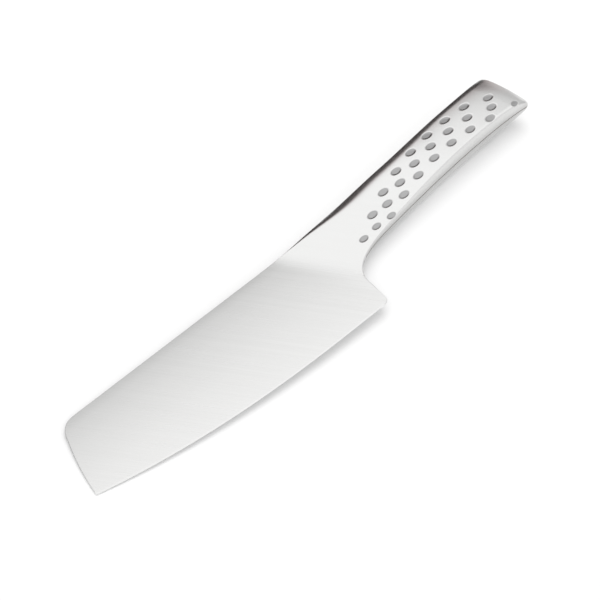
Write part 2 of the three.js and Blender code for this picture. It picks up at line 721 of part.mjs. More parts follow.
// Resting side: the face of the convex hull that has the centre of mass straight above it.
function restingNormal(group) {
  const hull = new ConvexHull().setFromObject(group);
  const balance = new THREE.Vector3();
  let mass = 0;
  group.children.forEach((mesh) => {
    const { volume, centre } = volumeAndCentre(mesh.geometry);
    const weight = volume * (mesh.material.metalness > 0 ? 1 : SAND_DENSITY);
    balance.addScaledVector(centre, weight);
    mass += weight;
  });
  balance.divideScalar(mass);
  const target = new THREE.Vector3();
  const found = hull.faces.find((face) => {
    if (face.normal.z > -0.8) return false;
    const corners = [face.getEdge(0), face.getEdge(1), face.getEdge(2)].map((edge) => edge.head().point);
    const triangle = new THREE.Triangle(...corners);
    const height = face.distanceToPoint(balance);
    target.copy(balance).addScaledVector(face.normal, -height);
    return triangle.containsPoint(target);
  });
  return found.normal;
}

// Lay the knife on its left side, with the table at z = 0 under the middle of its box.
const laid = new THREE.Group();
laid.add(knife);
knife.quaternion.setFromUnitVectors(restingNormal(knife), new THREE.Vector3(0, 0, -1));
laid.updateMatrixWorld(true);
const box = new THREE.Box3().setFromObject(laid, true);
const middle = box.getCenter(new THREE.Vector3());
knife.position.set(-middle.x, -middle.y, -box.min.z);

export default laid;
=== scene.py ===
# %% [markdown]
# # A welded steel vegetable knife
# The knife is all steel: a broad flat blade, a neck that is ground so smoothly that no joint shows, and a
# hollow handle made of two pressed shells with rows of oval dimples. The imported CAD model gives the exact
# pieces. This script dresses them: it rebuilds each one with a fine, smooth surface, gives it a finish, and
# sets up a white table, a soft studio and a camera.

import math

import bpy
import numpy as np
from mathutils import Matrix, Vector
from mathutils.geometry import delaunay_2d_cdt


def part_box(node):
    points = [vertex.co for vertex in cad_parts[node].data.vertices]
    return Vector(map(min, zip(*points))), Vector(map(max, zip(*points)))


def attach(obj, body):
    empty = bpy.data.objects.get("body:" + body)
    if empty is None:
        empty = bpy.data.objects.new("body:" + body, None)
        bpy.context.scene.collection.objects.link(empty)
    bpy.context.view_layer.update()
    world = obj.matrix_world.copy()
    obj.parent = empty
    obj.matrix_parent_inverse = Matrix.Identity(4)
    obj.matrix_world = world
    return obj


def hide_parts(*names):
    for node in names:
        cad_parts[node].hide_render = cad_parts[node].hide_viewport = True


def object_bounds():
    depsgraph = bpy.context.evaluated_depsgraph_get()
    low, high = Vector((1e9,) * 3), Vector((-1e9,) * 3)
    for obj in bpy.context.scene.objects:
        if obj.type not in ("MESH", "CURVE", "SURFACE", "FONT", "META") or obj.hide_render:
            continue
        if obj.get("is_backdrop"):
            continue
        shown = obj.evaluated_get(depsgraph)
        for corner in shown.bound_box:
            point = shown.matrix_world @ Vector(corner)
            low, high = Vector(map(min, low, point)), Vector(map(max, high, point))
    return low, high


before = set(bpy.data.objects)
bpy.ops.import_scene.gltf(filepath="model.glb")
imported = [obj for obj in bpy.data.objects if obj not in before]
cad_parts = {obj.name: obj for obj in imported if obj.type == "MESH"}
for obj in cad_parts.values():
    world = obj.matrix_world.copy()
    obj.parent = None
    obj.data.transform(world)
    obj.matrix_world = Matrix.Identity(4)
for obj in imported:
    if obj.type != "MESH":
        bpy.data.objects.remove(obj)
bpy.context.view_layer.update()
print("CAD pieces:", ", ".join(sorted(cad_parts)))

# %% [markdown]
# ## The knife's own axes
# A knife is easiest to draw lying flat: x runs from the toe to the butt along the spine, y from the cutting
# edge up to the spine, z out of the right side, all in millimetres, with x = 0 at the heel. On the table the
# knife leans a little, because it lies on its toe and on the handle's lower face. One rotation lays every
# drawn point down, and the CAD blade's box says where it lies.

# %% Lay drawn points on the table
REST_DOWN = Vector((-0.037638, -0.012191, -0.999217))
turn = np.array(REST_DOWN.rotation_difference(Vector((0, 0, -1))).to_matrix())
shift = np.zeros(3)


def lay(points):
    """Points in knife axes, in millimetres, as points on the table, in metres."""
    return (np.asarray(points, float) @ turn.T) / 1000 + shift


def ease(t):
    t = np.clip(t, 0, 1)
    return t * t * (3 - 2 * t)


def mix(a, b, t):
    return a + (b - a) * t


# %% [markdown]
# ## The outline
# The blade's spine is straight and flows up into a slightly canted handle. The cutting edge is straight at
# the heel and bellies up to the toe. Behind the heel a notch sweeps into the handle's arched belly. The same
# few numbers drive the CAD model, so the dressed pieces land on the solids.

# %% Outline sizes
# The knife's lengths are in millimetres. The node trees, the table and the studio use metres.
BLADE_LENGTH = 164.3
HEEL_DEPTH = 50.4
EDGE_STRAIGHT = 20
TOE_RISE = 14.2
EDGE_POWER = 2.4
SPINE_THICKNESS = 2.4
TIP_THICKNESS = 2.1
EDGE_THICKNESS = 0.4
HANDLE_LENGTH = 129.6
GRIP_START = 24
SPINE_FLOW_START = -32
SPINE_RISE = 3.85
SPINE_HOLLOW = 0.56
SPINE_DIP = 0.62
SPINE_DIP_AT = 15
SPINE_DIP_REACH = 24
HANDLE_SLOPE = math.tan(math.radians(3.16))
FRONT_WIDTH = 25.45
BUTT_WIDTH = 25.35
NOTCH_DEPTH = 36
HEEL_SETBACK = 0.3
print("knife length", BLADE_LENGTH + HANDLE_LENGTH, "mm")


# %% Blade and spine curves
def blade_half(x, y):
    wedge = y * (SPINE_THICKNESS - EDGE_THICKNESS) / (2 * HEEL_DEPTH)
    taper = x * (SPINE_THICKNESS - TIP_THICKNESS) / (2 * BLADE_LENGTH)
    return SPINE_THICKNESS / 2 + wedge + taper


def edge_y(x):
    along = np.maximum(0, (-x - EDGE_STRAIGHT) / (BLADE_LENGTH - EDGE_STRAIGHT))
    return -HEEL_DEPTH + TOE_RISE * along**EDGE_POWER


def hump(t):
    return 16 * (t * (1 - t)) ** 2


def spine_y(x):
    span = GRIP_START - SPINE_FLOW_START
    t = np.clip((x - SPINE_FLOW_START) / span, 0, 1)
    flow = SPINE_RISE * ease(t) + HANDLE_SLOPE * span * (t**3 - t**2)
    behind = np.maximum(0, x - GRIP_START)
    part = np.clip(behind / (HANDLE_LENGTH - GRIP_START), 0, 1)
    near = np.clip((x - SPINE_DIP_AT) / (2 * SPINE_DIP_REACH) + 0.5, 0, 1)
    dip = SPINE_HOLLOW * hump(part) + SPINE_DIP * hump(near)
    return flow + HANDLE_SLOPE * behind - dip


def bezier(a, b, c, d, t):
    t = np.asarray(t, float)[..., None]
    a, b, c, d = (np.array(p, float) for p in (a, b, c, d))
    return a * (1 - t) ** 3 + 3 * b * t * (1 - t) ** 2 + 3 * c * t * t * (1 - t) + d * t**3


# %% Belly curves
NOTCH_START = (-HEEL_SETBACK, -NOTCH_DEPTH)
NOTCH_RISE = 7.8
NOTCH_PULL = 0.667
NOTCH_TRIM = 1.8
GRIP_FRONT = (GRIP_START, float(spine_y(GRIP_START)) - FRONT_WIDTH)
BUTT_BELLY = (HANDLE_LENGTH, float(spine_y(HANDLE_LENGTH)) - BUTT_WIDTH)
FRONT_RISE = math.tan(math.radians(7.6))
BUTT_FALL = math.tan(math.radians(8.8))
FRONT_PULL = 36
BUTT_PULL = 19


def notch_curve(t):
    """From the heel's back edge round the notch to the front of the grip."""
    pull = NOTCH_PULL * (GRIP_START - NOTCH_START[0] - NOTCH_TRIM)
    lower = (NOTCH_START[0], NOTCH_START[1] + NOTCH_RISE)
    upper = (GRIP_START - pull, GRIP_FRONT[1] - pull * FRONT_RISE)
    return bezier(NOTCH_START, lower, upper, GRIP_FRONT, t)


def grip_curve(t):
    """Along the handle's belly to the butt."""
    front = (GRIP_START + FRONT_PULL, GRIP_FRONT[1] + FRONT_PULL * FRONT_RISE)
    rear = (HANDLE_LENGTH - BUTT_PULL, BUTT_BELLY[1] + BUTT_PULL * BUTT_FALL)
    return bezier(GRIP_FRONT, front, rear, BUTT_BELLY, t)


belly_points = np.vstack([notch_curve(np.linspace(0, 1, 400)), grip_curve(np.linspace(0, 1, 800))[1:]])
belly_run = np.concatenate([[0], np.cumsum(np.linalg.norm(np.diff(belly_points, axis=0), axis=1))])
print("belly length", round(belly_run[-1], 1), "mm")

# %% [markdown]
# ## Mesh helper
# Every piece below is a list of points and faces. Laying the points and smoothing the faces is the same each
# time, so one helper does it. Sharp edges stay sharp where two faces meet at more than the given angle.


# %% Make a mesh piece
def make_piece(name, points, faces, sharp):
    """A smooth piece on the table, with edges kept crisp above the sharp angle, in degrees."""
    mesh = bpy.data.meshes.new(name)
    mesh.from_pydata(lay(points).tolist(), [], [list(f) for f in faces])
    mesh.validate()
    piece = bpy.data.objects.new(name, mesh)
    bpy.context.scene.collection.objects.link(piece)
    mesh.shade_smooth()
    mesh.set_sharp_from_angle(angle=math.radians(sharp))
    print(name, len(mesh.vertices), "points,", len(mesh.polygons), "faces")
    return piece


# %% [markdown]
# ## Grind and polish
# The blade is ground, the handle is polished, and the change between them lies in the hollow of the neck.
# Three pieces meet there, and the change must not show their borders. So every point gets two values from
# its distance to the collar line: polish, from blade to handle, and hollow, a band of painted shade along
# the hollow where the grinding wheel turned.

# %% Polish values
COLLAR_START = -27
COLLAR_FOOT = 3
HOLLOW_AHEAD = 4
HOLLOW_WIDTH = 2.6
HOLLOW_DEEPENS = 40
HOLLOW_LEAST = 0.35
POLISH_LENGTH = 10
collar_low = np.array([np.interp(COLLAR_FOOT, belly_run, belly_points[:, k]) for k in (0, 1)])
collar_high = np.array([COLLAR_START, float(spine_y(COLLAR_START))])
collar_way = (collar_high - collar_low) / np.linalg.norm(collar_high - collar_low)
collar_back = np.array([collar_way[1], -collar_way[0]])


def add_polish(piece, points):
    """Store the polish value and the hollow's painted shade value at each point of a piece."""
    points = np.asarray(points)
    behind = (points[:, :2] - collar_low) @ collar_back + HOLLOW_AHEAD
    toward_spine = np.clip((points[:, :2] - collar_low) @ collar_way / HOLLOW_DEEPENS, 0, 1)
    values = {
        "polish": ease(behind / POLISH_LENGTH),
        "hollow": np.exp(-((behind / HOLLOW_WIDTH) ** 2)) * mix(HOLLOW_LEAST, 1, ease(toward_spine)),
    }
    for key, value in values.items():
        piece.data.attributes.new(key, "FLOAT", "POINT")
        piece.data.attributes[key].data.foreach_set("value", value.astype(np.float32))


print("collar line", np.round(collar_low, 1), "to", np.round(collar_high, 1))

# %% [markdown]
# ## Blade
# The blade is a ground plate. Each side is one flat face that thins towards the edge, so a magnetic rack can
# hold it. A narrow bevel forms the cutting edge, and all other edges are only broken, not sharp. Four rings
# of points make it: face, lip, lip and face. A plain extrusion could not taper.

# %% Blade outline
FRONT_LEAN = 9.9
FRONT_BULGE = 1.9
FRONT_CORNER = 7.5
HEEL_CORNER = 4
BEVEL_WIDTH = 0.9
APEX_HALF = 0.04
EDGE_BREAK = 0.25
SHOULDER_X = 8
TANG_END = 46
TANG_INSET = 5


def arc3(a, b, c, count):
    """A quadratic curve from a to c pulled towards b."""
    t = np.linspace(0, 1, count)[:, None]
    a, b, c = (np.array(p, float) for p in (a, b, c))
    return a * (1 - t) ** 2 + 2 * b * t * (1 - t) + c * t * t


heel_y = float(edge_y(0))
heel = arc3(
    (-HEEL_SETBACK, heel_y + HEEL_CORNER),
    (-HEEL_SETBACK, heel_y),
    (-HEEL_SETBACK - HEEL_CORNER, heel_y),
    14,
)[:-1]
edge_x = np.linspace(-HEEL_SETBACK - HEEL_CORNER, -BLADE_LENGTH, 160)
edge = np.column_stack([edge_x, edge_y(edge_x)])
toe = edge[-1]
corner = np.array([-BLADE_LENGTH + FRONT_LEAN, 0.0])
front_end = corner + (toe - corner) * FRONT_CORNER / np.linalg.norm(toe - corner)
front_pull = (toe + front_end) / 2 + np.array([-FRONT_BULGE, 0])
front = arc3(toe, front_pull, front_end, 24)[1:-1]
round_corner = arc3(front_end, corner, corner + np.array([FRONT_CORNER, 0]), 20)
neck_x = np.linspace(SPINE_FLOW_START, SHOULDER_X, 40)
spine = np.column_stack([neck_x, spine_y(neck_x)])
tang_top = float(spine_y(SHOULDER_X)) - TANG_INSET
tang_low = GRIP_FRONT[1] + TANG_INSET
tang = np.array([
    (SHOULDER_X, tang_top),
    (TANG_END, tang_top),
    (TANG_END, tang_low),
    (SHOULDER_X, tang_low),
])
notch = notch_curve(np.linspace(0, 1, 300))
notch = notch[notch[:, 0] <= SHOULDER_X][::-1][::4]
outline = np.vstack([heel, edge, front, round_corner, spine, tang, notch])[::-1]
is_edge = np.concatenate([
    np.zeros(len(heel), bool),
    np.ones(len(edge), bool),
    np.zeros(len(front) + len(round_corner) + len(spine) + len(tang) + len(notch), bool),
])[::-1]
print("outline points", len(outline))


# %% Blade faces
def inset(points, distance):
    """A closed, counter-clockwise outline moved square to itself, to the inside."""
    before = points - np.roll(points, 1, axis=0)
    after = np.roll(points, -1, axis=0) - points
    before /= np.linalg.norm(before, axis=1)[:, None]
    after /= np.linalg.norm(after, axis=1)[:, None]
    normal = np.column_stack([-before[:, 1] - after[:, 1], before[:, 0] + after[:, 0]])
    normal /= np.linalg.norm(normal, axis=1)[:, None]
    miter = np.maximum(0.5, normal[:, 0] * -before[:, 1] + normal[:, 1] * before[:, 0])
    return points + normal * (np.broadcast_to(distance, len(points)) / miter)[:, None]


face = inset(outline, np.where(is_edge, BEVEL_WIDTH, EDGE_BREAK))
GRID_STEP = 4
GRID_TOP = 4
inner_x, inner_y = np.meshgrid(
    np.arange(-BLADE_LENGTH + GRID_STEP, TANG_END, GRID_STEP),
    np.arange(-HEEL_DEPTH + GRID_STEP, GRID_TOP, GRID_STEP),
)
inner_grid = np.column_stack([inner_x.ravel(), inner_y.ravel()])
count = len(outline)
ring_edges = [(i, (i + 1) % count) for i in range(count)]
face_points = np.vstack([face, inner_grid]).tolist()
INSIDE_ONLY = 1
laid_out = delaunay_2d_cdt(face_points, ring_edges, [list(range(count))], INSIDE_ONLY, 1e-6)
flat = np.array([tuple(p) for p in laid_out[0]])
triangles = [list(t) for t in laid_out[2]]
extra = len(flat)
print("blade face has", len(triangles), "triangles")

# %% Blade piece
lip_z = np.where(is_edge, APEX_HALF, blade_half(outline[:, 0], outline[:, 1]) - EDGE_BREAK)
top_z = blade_half(flat[:, 0], flat[:, 1])
blade_points = np.vstack([
    np.column_stack([flat, top_z]),
    np.column_stack([flat, -top_z]),
    np.column_stack([outline, lip_z]),
    np.column_stack([outline, -lip_z]),
])
upper_lip, lower_lip = 2 * extra, 2 * extra + count
blade_faces = triangles + [[extra + k for k in t[::-1]] for t in triangles]
for i, j in ring_edges:
    blade_faces.append([i, upper_lip + i, upper_lip + j, j])
    blade_faces.append([upper_lip + i, lower_lip + i, lower_lip + j, upper_lip + j])
    blade_faces.append([lower_lip + i, extra + i, extra + j, lower_lip + j])

low = np.array(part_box("blade")[0])
shift = low - lay(blade_points).min(axis=0)
BLADE_SHARP = 5
blade = make_piece("ground_blade", blade_points, blade_faces, BLADE_SHARP)
add_polish(blade, blade_points)
print("blade sits at", np.round(lay(blade_points).min(axis=0) * 1000, 2), "mm")

# %% [markdown]
# ## Handle shells
# Each shell is pressed from sheet: a low wall and a soft round on the belly side, a broad crowned face, and
# a roll-off to a crisp edge on the spine side. It rises out of the blade in one long ramp, and its crown
# falls off at the butt, most at the belly corner. The shape follows a rule, so it is drawn as sections: lines
# across the handle from belly to spine, slanted like the collar at the front and like the butt at the rear.
# A second, coarser set 1.4 mm further in makes the inside of the wall.

# %% Handle sizes
BUTT_SLANT = 8.7
BUTT_BULGE = 0.1
BUTT_CORNER = 2.4
BUTT_EDGE = 0.8
BUTT_FALL_REACH = 12
BUTT_FALL_BELLY = 4.2
BUTT_FALL_SPINE = 1.2
GRIP_THICKNESS = 19
BUTT_THICKNESS = 15.4
BUTT_DROOP = 0.9
COLLAR_EDGE = 0.4
RAMP_LENGTH = 88
RAMP_KICK = 0.9
CROWN = 1.1
BELLY_WALL = 5.5
BELLY_WALL_SHARE = 0.65
BELLY_ROUND = 2.4
BELLY_ROUND_NECK = 0.7
BELLY_ROUND_BUTT = 2.2
ROLL_WIDTH = 9.5
ROLL_WIDTH_BUTT = 3.2
ROLL_SLOPE_NECK = 0.6
ROLL_SLOPE = 0.42
ROLL_POWER = 2.5
ROLL_START = 52
SPINE_EDGE = 0.2
SPINE_DRAFT = 0.31
WALL_DRAFT = 0.2
SHELL_WALL = 1.4
CAVITY_START = 14
SEAM_HALF = 0.3
FIT = 0.03
station_length = (HANDLE_LENGTH - BUTT_SLANT - COLLAR_START + HANDLE_LENGTH) / 2
print("handle length from the collar", round(station_length, 1), "mm")

# %% Where the sizes change along the handle
# Each pair is a start and an end, as shares of the way from 0 at the collar to 1 at the butt.
TAPER_FROM = 0.6
TAPER_POWER = 4
DROOP_SPAN = (0.7, 1)
ROLL_NARROWS = (0.24, 0.8)
ROLL_FLATTENS = (0.2, 0.45)
DRAFT_FADES = (0.38, 0.78)
BULGE_SPAN = (0.55, 1)
BELLY_ROUND_GROWS = (0.1, 0.7)
BELLY_ROUND_SHRINKS = (0.6, 1)


def between(s, start, end):
    """0 up to the start, 1 from the end on, and eased between them."""
    return float(ease((s - start) / (end - start)))


# %% Section lines
def station(s):
    """Belly end, spine end and direction of the section line at s, from 0 at the collar to 1 at the butt."""
    run = mix(COLLAR_FOOT, belly_run[-1], s)
    start = np.array([np.interp(run, belly_run, belly_points[:, k]) for k in (0, 1)])
    x = mix(COLLAR_START, HANDLE_LENGTH - BUTT_SLANT, s)
    end = np.array([x, float(spine_y(x))])
    across = (end - start) / np.linalg.norm(end - start)
    return start, end, across


def ramp(s):
    """How far the handle has risen out of the blade, from 0 to 1."""
    q = np.clip(s * station_length / RAMP_LENGTH, 0, 1)
    return RAMP_KICK * q * (1 - q) ** 2 + ease(q)


# %% One section
# The max() calls keep thin places, such as the collar and the inner wall, from turning inside out.
def section(s, inset_by=0.0, crown_steps=110, side_steps=14, wall_steps=4):
    """One section's points from the belly rim over the crown to the spine rim."""
    start, end, across = station(s)
    behind = max(0.0, (1 - s) * station_length - inset_by)

    def rounding(radius):
        radius = max(0.5, radius - inset_by)
        short = max(0.0, radius - behind)
        return radius - math.sqrt(max(0.0, radius**2 - short**2))

    move = inset_by + rounding(BUTT_CORNER)
    full = np.linalg.norm(end - start)
    width = full - 2 * move
    rise = float(ramp(s))
    taper = max(0.0, (s - TAPER_FROM) / (1 - TAPER_FROM)) ** TAPER_POWER
    grip = mix(GRIP_THICKNESS, BUTT_THICKNESS, taper) / 2
    droop = BUTT_DROOP * between(s, *DROOP_SPAN)
    near_end = max(0.0, 1 - (1 - s) * station_length / BUTT_FALL_REACH)
    roll = mix(ROLL_WIDTH, ROLL_WIDTH_BUTT, between(s, *ROLL_NARROWS))
    roll = max(0.2, roll * float(ease(s * station_length / ROLL_START)))
    slope = mix(ROLL_SLOPE_NECK, ROLL_SLOPE, between(s, *ROLL_FLATTENS))

    def roll_drop(reach):
        return slope * roll / ROLL_POWER * (reach / roll) ** ROLL_POWER

    edge_height = max(0.0, mix(COLLAR_EDGE, grip - CROWN, rise) - float(roll_drop(roll)))
    lean = WALL_DRAFT + edge_height * SPINE_DRAFT * (1 - between(s, *DRAFT_FADES))

    def top(d):
        p = start + np.multiply.outer(move + d, across)
        t = (move + d) / full
        fall = mix(BUTT_FALL_BELLY, BUTT_FALL_SPINE, t) * near_end**2
        crowned = grip - CROWN * (2 * t - 1) ** 2 - droop * (1 - t) ** 2 - fall
        z = mix(blade_half(p[..., 0], p[..., 1]) + COLLAR_EDGE, crowned, rise)
        return z - roll_drop(np.maximum(0, d - (width - lean - roll))) - inset_by - rounding(BUTT_EDGE)

    def rim(d):
        p = start + across * (move + d)
        return float(blade_half(*p)) + FIT if p[0] < SHOULDER_X else SEAM_HALF

    def place(d, z):
        p = start + np.multiply.outer(move + d, across)
        t = d / width
        bulge = BUTT_BULGE * between(s, *BULGE_SPAN) * 4 * t * (1 - t)
        return np.column_stack([p[:, 0] + bulge, p[:, 1], z])

    round_y = mix(BELLY_ROUND_NECK, BELLY_ROUND, between(s, *BELLY_ROUND_GROWS))
    round_y = mix(round_y, BELLY_ROUND_BUTT, between(s, *BELLY_ROUND_SHRINKS))
    round_y = max(0.2, min(round_y, width * 0.3) - inset_by)
    room = max(0.05, float(top(np.array(WALL_DRAFT + round_y))) - rim(0))
    round_z = room - min(BELLY_WALL, room * BELLY_WALL_SHARE)
    turn_in = np.linspace(0, np.pi / 2, side_steps)
    belly_d = WALL_DRAFT + round_y * (1 - np.cos(turn_in))
    belly_z = top(belly_d) - round_z * (1 - np.sin(turn_in))
    spine_height = max(0.1, float(top(np.array(width))) - rim(width))
    spine_r = max(0.05, min(SPINE_EDGE, 0.4 * spine_height))
    crown_d = np.linspace(belly_d[-1], width - lean - spine_r, crown_steps)[1:]
    crown_z = top(crown_d)
    turn_out = np.linspace(0, np.pi / 2, max(3, side_steps // 3))[1:]
    spine_d = crown_d[-1] + spine_r * np.sin(turn_out)
    spine_z = crown_z[-1] - spine_r * (1 - np.cos(turn_out))
    low_wall = np.linspace(0, 1, wall_steps)[:-1]
    foot = width - lean * rim(width) / spine_z[-1]
    d = np.concatenate([
        mix(0, belly_d[0], low_wall),
        belly_d,
        crown_d,
        spine_d,
        mix(foot, spine_d[-1], low_wall)[::-1],
    ])
    z = np.concatenate([
        mix(rim(0), belly_z[0], low_wall),
        belly_z,
        crown_z,
        spine_z,
        mix(rim(width), spine_z[-1], low_wall)[::-1],
    ])
    return place(d, z)


# %% All sections
NECK_PART = 0.12
END_REACH = 3


def station_list():
    """Stations close together where the dimples are, and closest on the butt's rounded end."""
    end_part = END_REACH / station_length
    neck = np.linspace(0, NECK_PART, 30, endpoint=False)
    grip = np.linspace(NECK_PART, 1 - end_part, 500, endpoint=False)
    butt = (1 - end_part) + end_part * np.sin(np.linspace(0, np.pi / 2, 22))
    return np.concatenate([neck, grip, butt])


grid = np.array([section(s) for s in station_list()])
print("outer surface", grid.shape)

# %% [markdown]
# ## Shell pieces
# The outer sections and the coarser inner ones are joined at the rims to one closed wall. The left shell is
# the right one mirrored.


# %% Shell walls
def shell_mesh(rows, rows_in, first_in):
    """One closed wall from the outer rows and the coarser inner rows, joined at the rims."""
    n, m = rows.shape[:2]
    k, w = rows_in.shape[:2]
    butt_low = rows[-1].copy()
    butt_low[:, 2] = SEAM_HALF
    inner_low = rows_in[-1].copy()
    inner_low[:, 2] = SEAM_HALF
    points = np.vstack([rows.reshape(-1, 3), rows_in.reshape(-1, 3), butt_low[1:-1], inner_low[1:-1]])
    base = n * m
    low_start = base + k * w
    inner_start = low_start + m - 2

    def at(i, j):
        return i * m + j

    def inner(i, j):
        return base + (i - first_in) * w + j

    faces = [
        [at(i, j), at(i + 1, j), at(i + 1, j + 1), at(i, j + 1)]
        for i in range(n - 1)
        for j in range(m - 1)
    ]
    faces += [
        [inner(i, j), inner(i, j + 1), inner(i + 1, j + 1), inner(i + 1, j)]
        for i in range(first_in, n - 1)
        for j in range(w - 1)
    ]
    for i in range(first_in, n - 1):
        faces.append([at(i, 0), inner(i, 0), inner(i + 1, 0), at(i + 1, 0)])
        faces.append([at(i, m - 1), at(i + 1, m - 1), inner(i + 1, w - 1), inner(i, w - 1)])
    faces += [[at(i, 0), at(i, m - 1), at(i + 1, m - 1), at(i + 1, 0)] for i in range(first_in)]
    faces.append([at(0, j) for j in range(m)])
    front_rim = [inner(first_in, j) for j in range(w - 1, -1, -1)]
    faces.append([at(first_in, 0), at(first_in, m - 1)] + front_rim)
    low_row = [at(n - 1, 0)] + list(range(low_start, low_start + m - 2)) + [at(n - 1, m - 1)]
    low_in = [inner(n - 1, 0)] + list(range(inner_start, inner_start + w - 2)) + [inner(n - 1, w - 1)]
    for j in range(m - 1):
        faces.append([at(n - 1, j), low_row[j], low_row[j + 1], at(n - 1, j + 1)])
    for j in range(w - 1):
        faces.append([inner(n - 1, j), inner(n - 1, j + 1), low_in[j + 1], low_in[j]])
    faces.append(low_row[::-1] + low_in)
    return points, [list(dict.fromkeys(f)) for f in faces]


# %% Make the shells
SHELL_SHARP = 40
first_in = int(np.searchsorted(station_list(), CAVITY_START / station_length))
outer_list = station_list()[first_in:]
inner_list = outer_list - np.linspace(0, SHELL_WALL / station_length, len(outer_list))
inner_steps = {"crown_steps": 8, "side_steps": 5, "wall_steps": 2}
inner_rows = np.array([section(s, SHELL_WALL, **inner_steps) for s in inner_list])
shell_points, shell_faces = shell_mesh(grid, inner_rows, first_in)
mirror = np.array([1, 1, -1])
right_wall = make_piece("right_wall", shell_points, shell_faces, SHELL_SHARP)
left_wall = make_piece("left_wall", shell_points * mirror, [f[::-1] for f in shell_faces], SHELL_SHARP)
add_polish(right_wall, shell_points)
add_polish(left_wall, shell_points)

# %% [markdown]
# ## Dimples
# Three arcs of oval dimples run along each shell, each a step nearer the belly and one dimple shorter, and
# one more sits at the butt. They are pressed in after the wall is drawn. For every point of the wall,
# Geometry Nodes look up the nearest dimple and push the point in by that dimple's profile. Booleans would
# leave bad shading at the rims, while a pressed wall stays one smooth surface. The depth is kept as an
# attribute for the finish.

# %% Dimple places
DIMPLE_LENGTH = 6.9
DIMPLE_WIDTH = 4.0
DIMPLE_DEPTH = 0.45
DIMPLE_TURN = math.radians(-4)
ARC_RADIUS = 146.3
ARC_TOP = (87.7, 1.45)
FIRST = 78.7
PITCH = 12.85
PITCH_LOSS = 0.2
COLUMNS = 9
ROWS = 3
ROW_STEP = (3.2, 5.8)
ROW_LAG = 1
FIRST_SIZE = 0.86
UPPER_LAST = (111.9, -2.7, 1.0)
MIDDLE_LAST = (109.2, -7.8, 1.0)
END_DIMPLE = (120.5, -12.9, 0.8)

dimples = []
for row in range(ROWS):
    for column in range(row, COLUMNS):
        angle = (FIRST - (PITCH - PITCH_LOSS * row) * column - ROW_LAG * row) / ARC_RADIUS
        x = ARC_TOP[0] - ROW_STEP[0] * row - ARC_RADIUS * math.sin(angle)
        y = ARC_TOP[1] - ROW_STEP[1] * row - ARC_RADIUS * (1 - math.cos(angle))
        dimples.append((x, y, FIRST_SIZE if column == row else 1.0))
dimples[COLUMNS - 1] = UPPER_LAST
dimples[2 * COLUMNS - 2] = MIDDLE_LAST
dimples.append(END_DIMPLE)
print("dimples on each side", len(dimples))

# %% Seat each dimple on the shell
normals = np.cross(np.gradient(grid, axis=0), np.gradient(grid, axis=1))
normals /= np.linalg.norm(normals, axis=2)[:, :, None]
normals *= np.sign(normals[:, :, 2].mean())
LEAST_FACING = 0.3
OUT_OF_REACH = 100
on_walls = normals[:, :, 2] < LEAST_FACING
seats = []
for x, y, size in dimples:
    distance = np.hypot(grid[:, :, 0] - x, grid[:, :, 1] - y) + OUT_OF_REACH * on_walls
    i, j = np.unravel_index(np.argmin(distance), distance.shape)
    stand = normals[i, j]
    run = np.array([math.cos(DIMPLE_TURN), math.sin(DIMPLE_TURN), 0])
    run = run - stand * (run @ stand)
    seats.append(((x, y, grid[i, j, 2]), stand, run / np.linalg.norm(run), size))
print("first seat", np.round(seats[0][0], 2))


# %% Node helpers
def link(tree, a, b):
    tree.links.new(a, b)


def math_node(tree, operation, a, b=None):
    node = tree.nodes.new("ShaderNodeMath")
    node.operation = operation
    for socket, value in zip(node.inputs, (a, b)):
        if value is None:
            continue
        if isinstance(value, (int, float)):
            socket.default_value = value
        else:
            link(tree, value, socket)
    return node.outputs[0]


def vector_node(tree, operation, a, b):
    node = tree.nodes.new("ShaderNodeVectorMath")
    node.operation = operation
    link(tree, a, node.inputs[0])
    link(tree, b, node.inputs["Scale" if operation == "SCALE" else 1])
    return node.outputs["Value" if operation == "DOT_PRODUCT" else "Vector"]


def smooth_step(tree, value, low_end, high_end, low_value, high_value):
    """From the low value at the low end to the high value at the high end, smoothly."""
    node = tree.nodes.new("ShaderNodeMapRange")
    node.interpolation_type = "SMOOTHSTEP"
    link(tree, value, node.inputs["Value"])
    given = {"From Min": low_end, "From Max": high_end, "To Min": low_value, "To Max": high_value}
    for name, number in given.items():
        node.inputs[name].default_value = number
    return node.outputs["Result"]


# %% Pressing tree in Geometry Nodes
FLOOR_PART = 0.5
OUTSIDE_ONLY = 0.0009


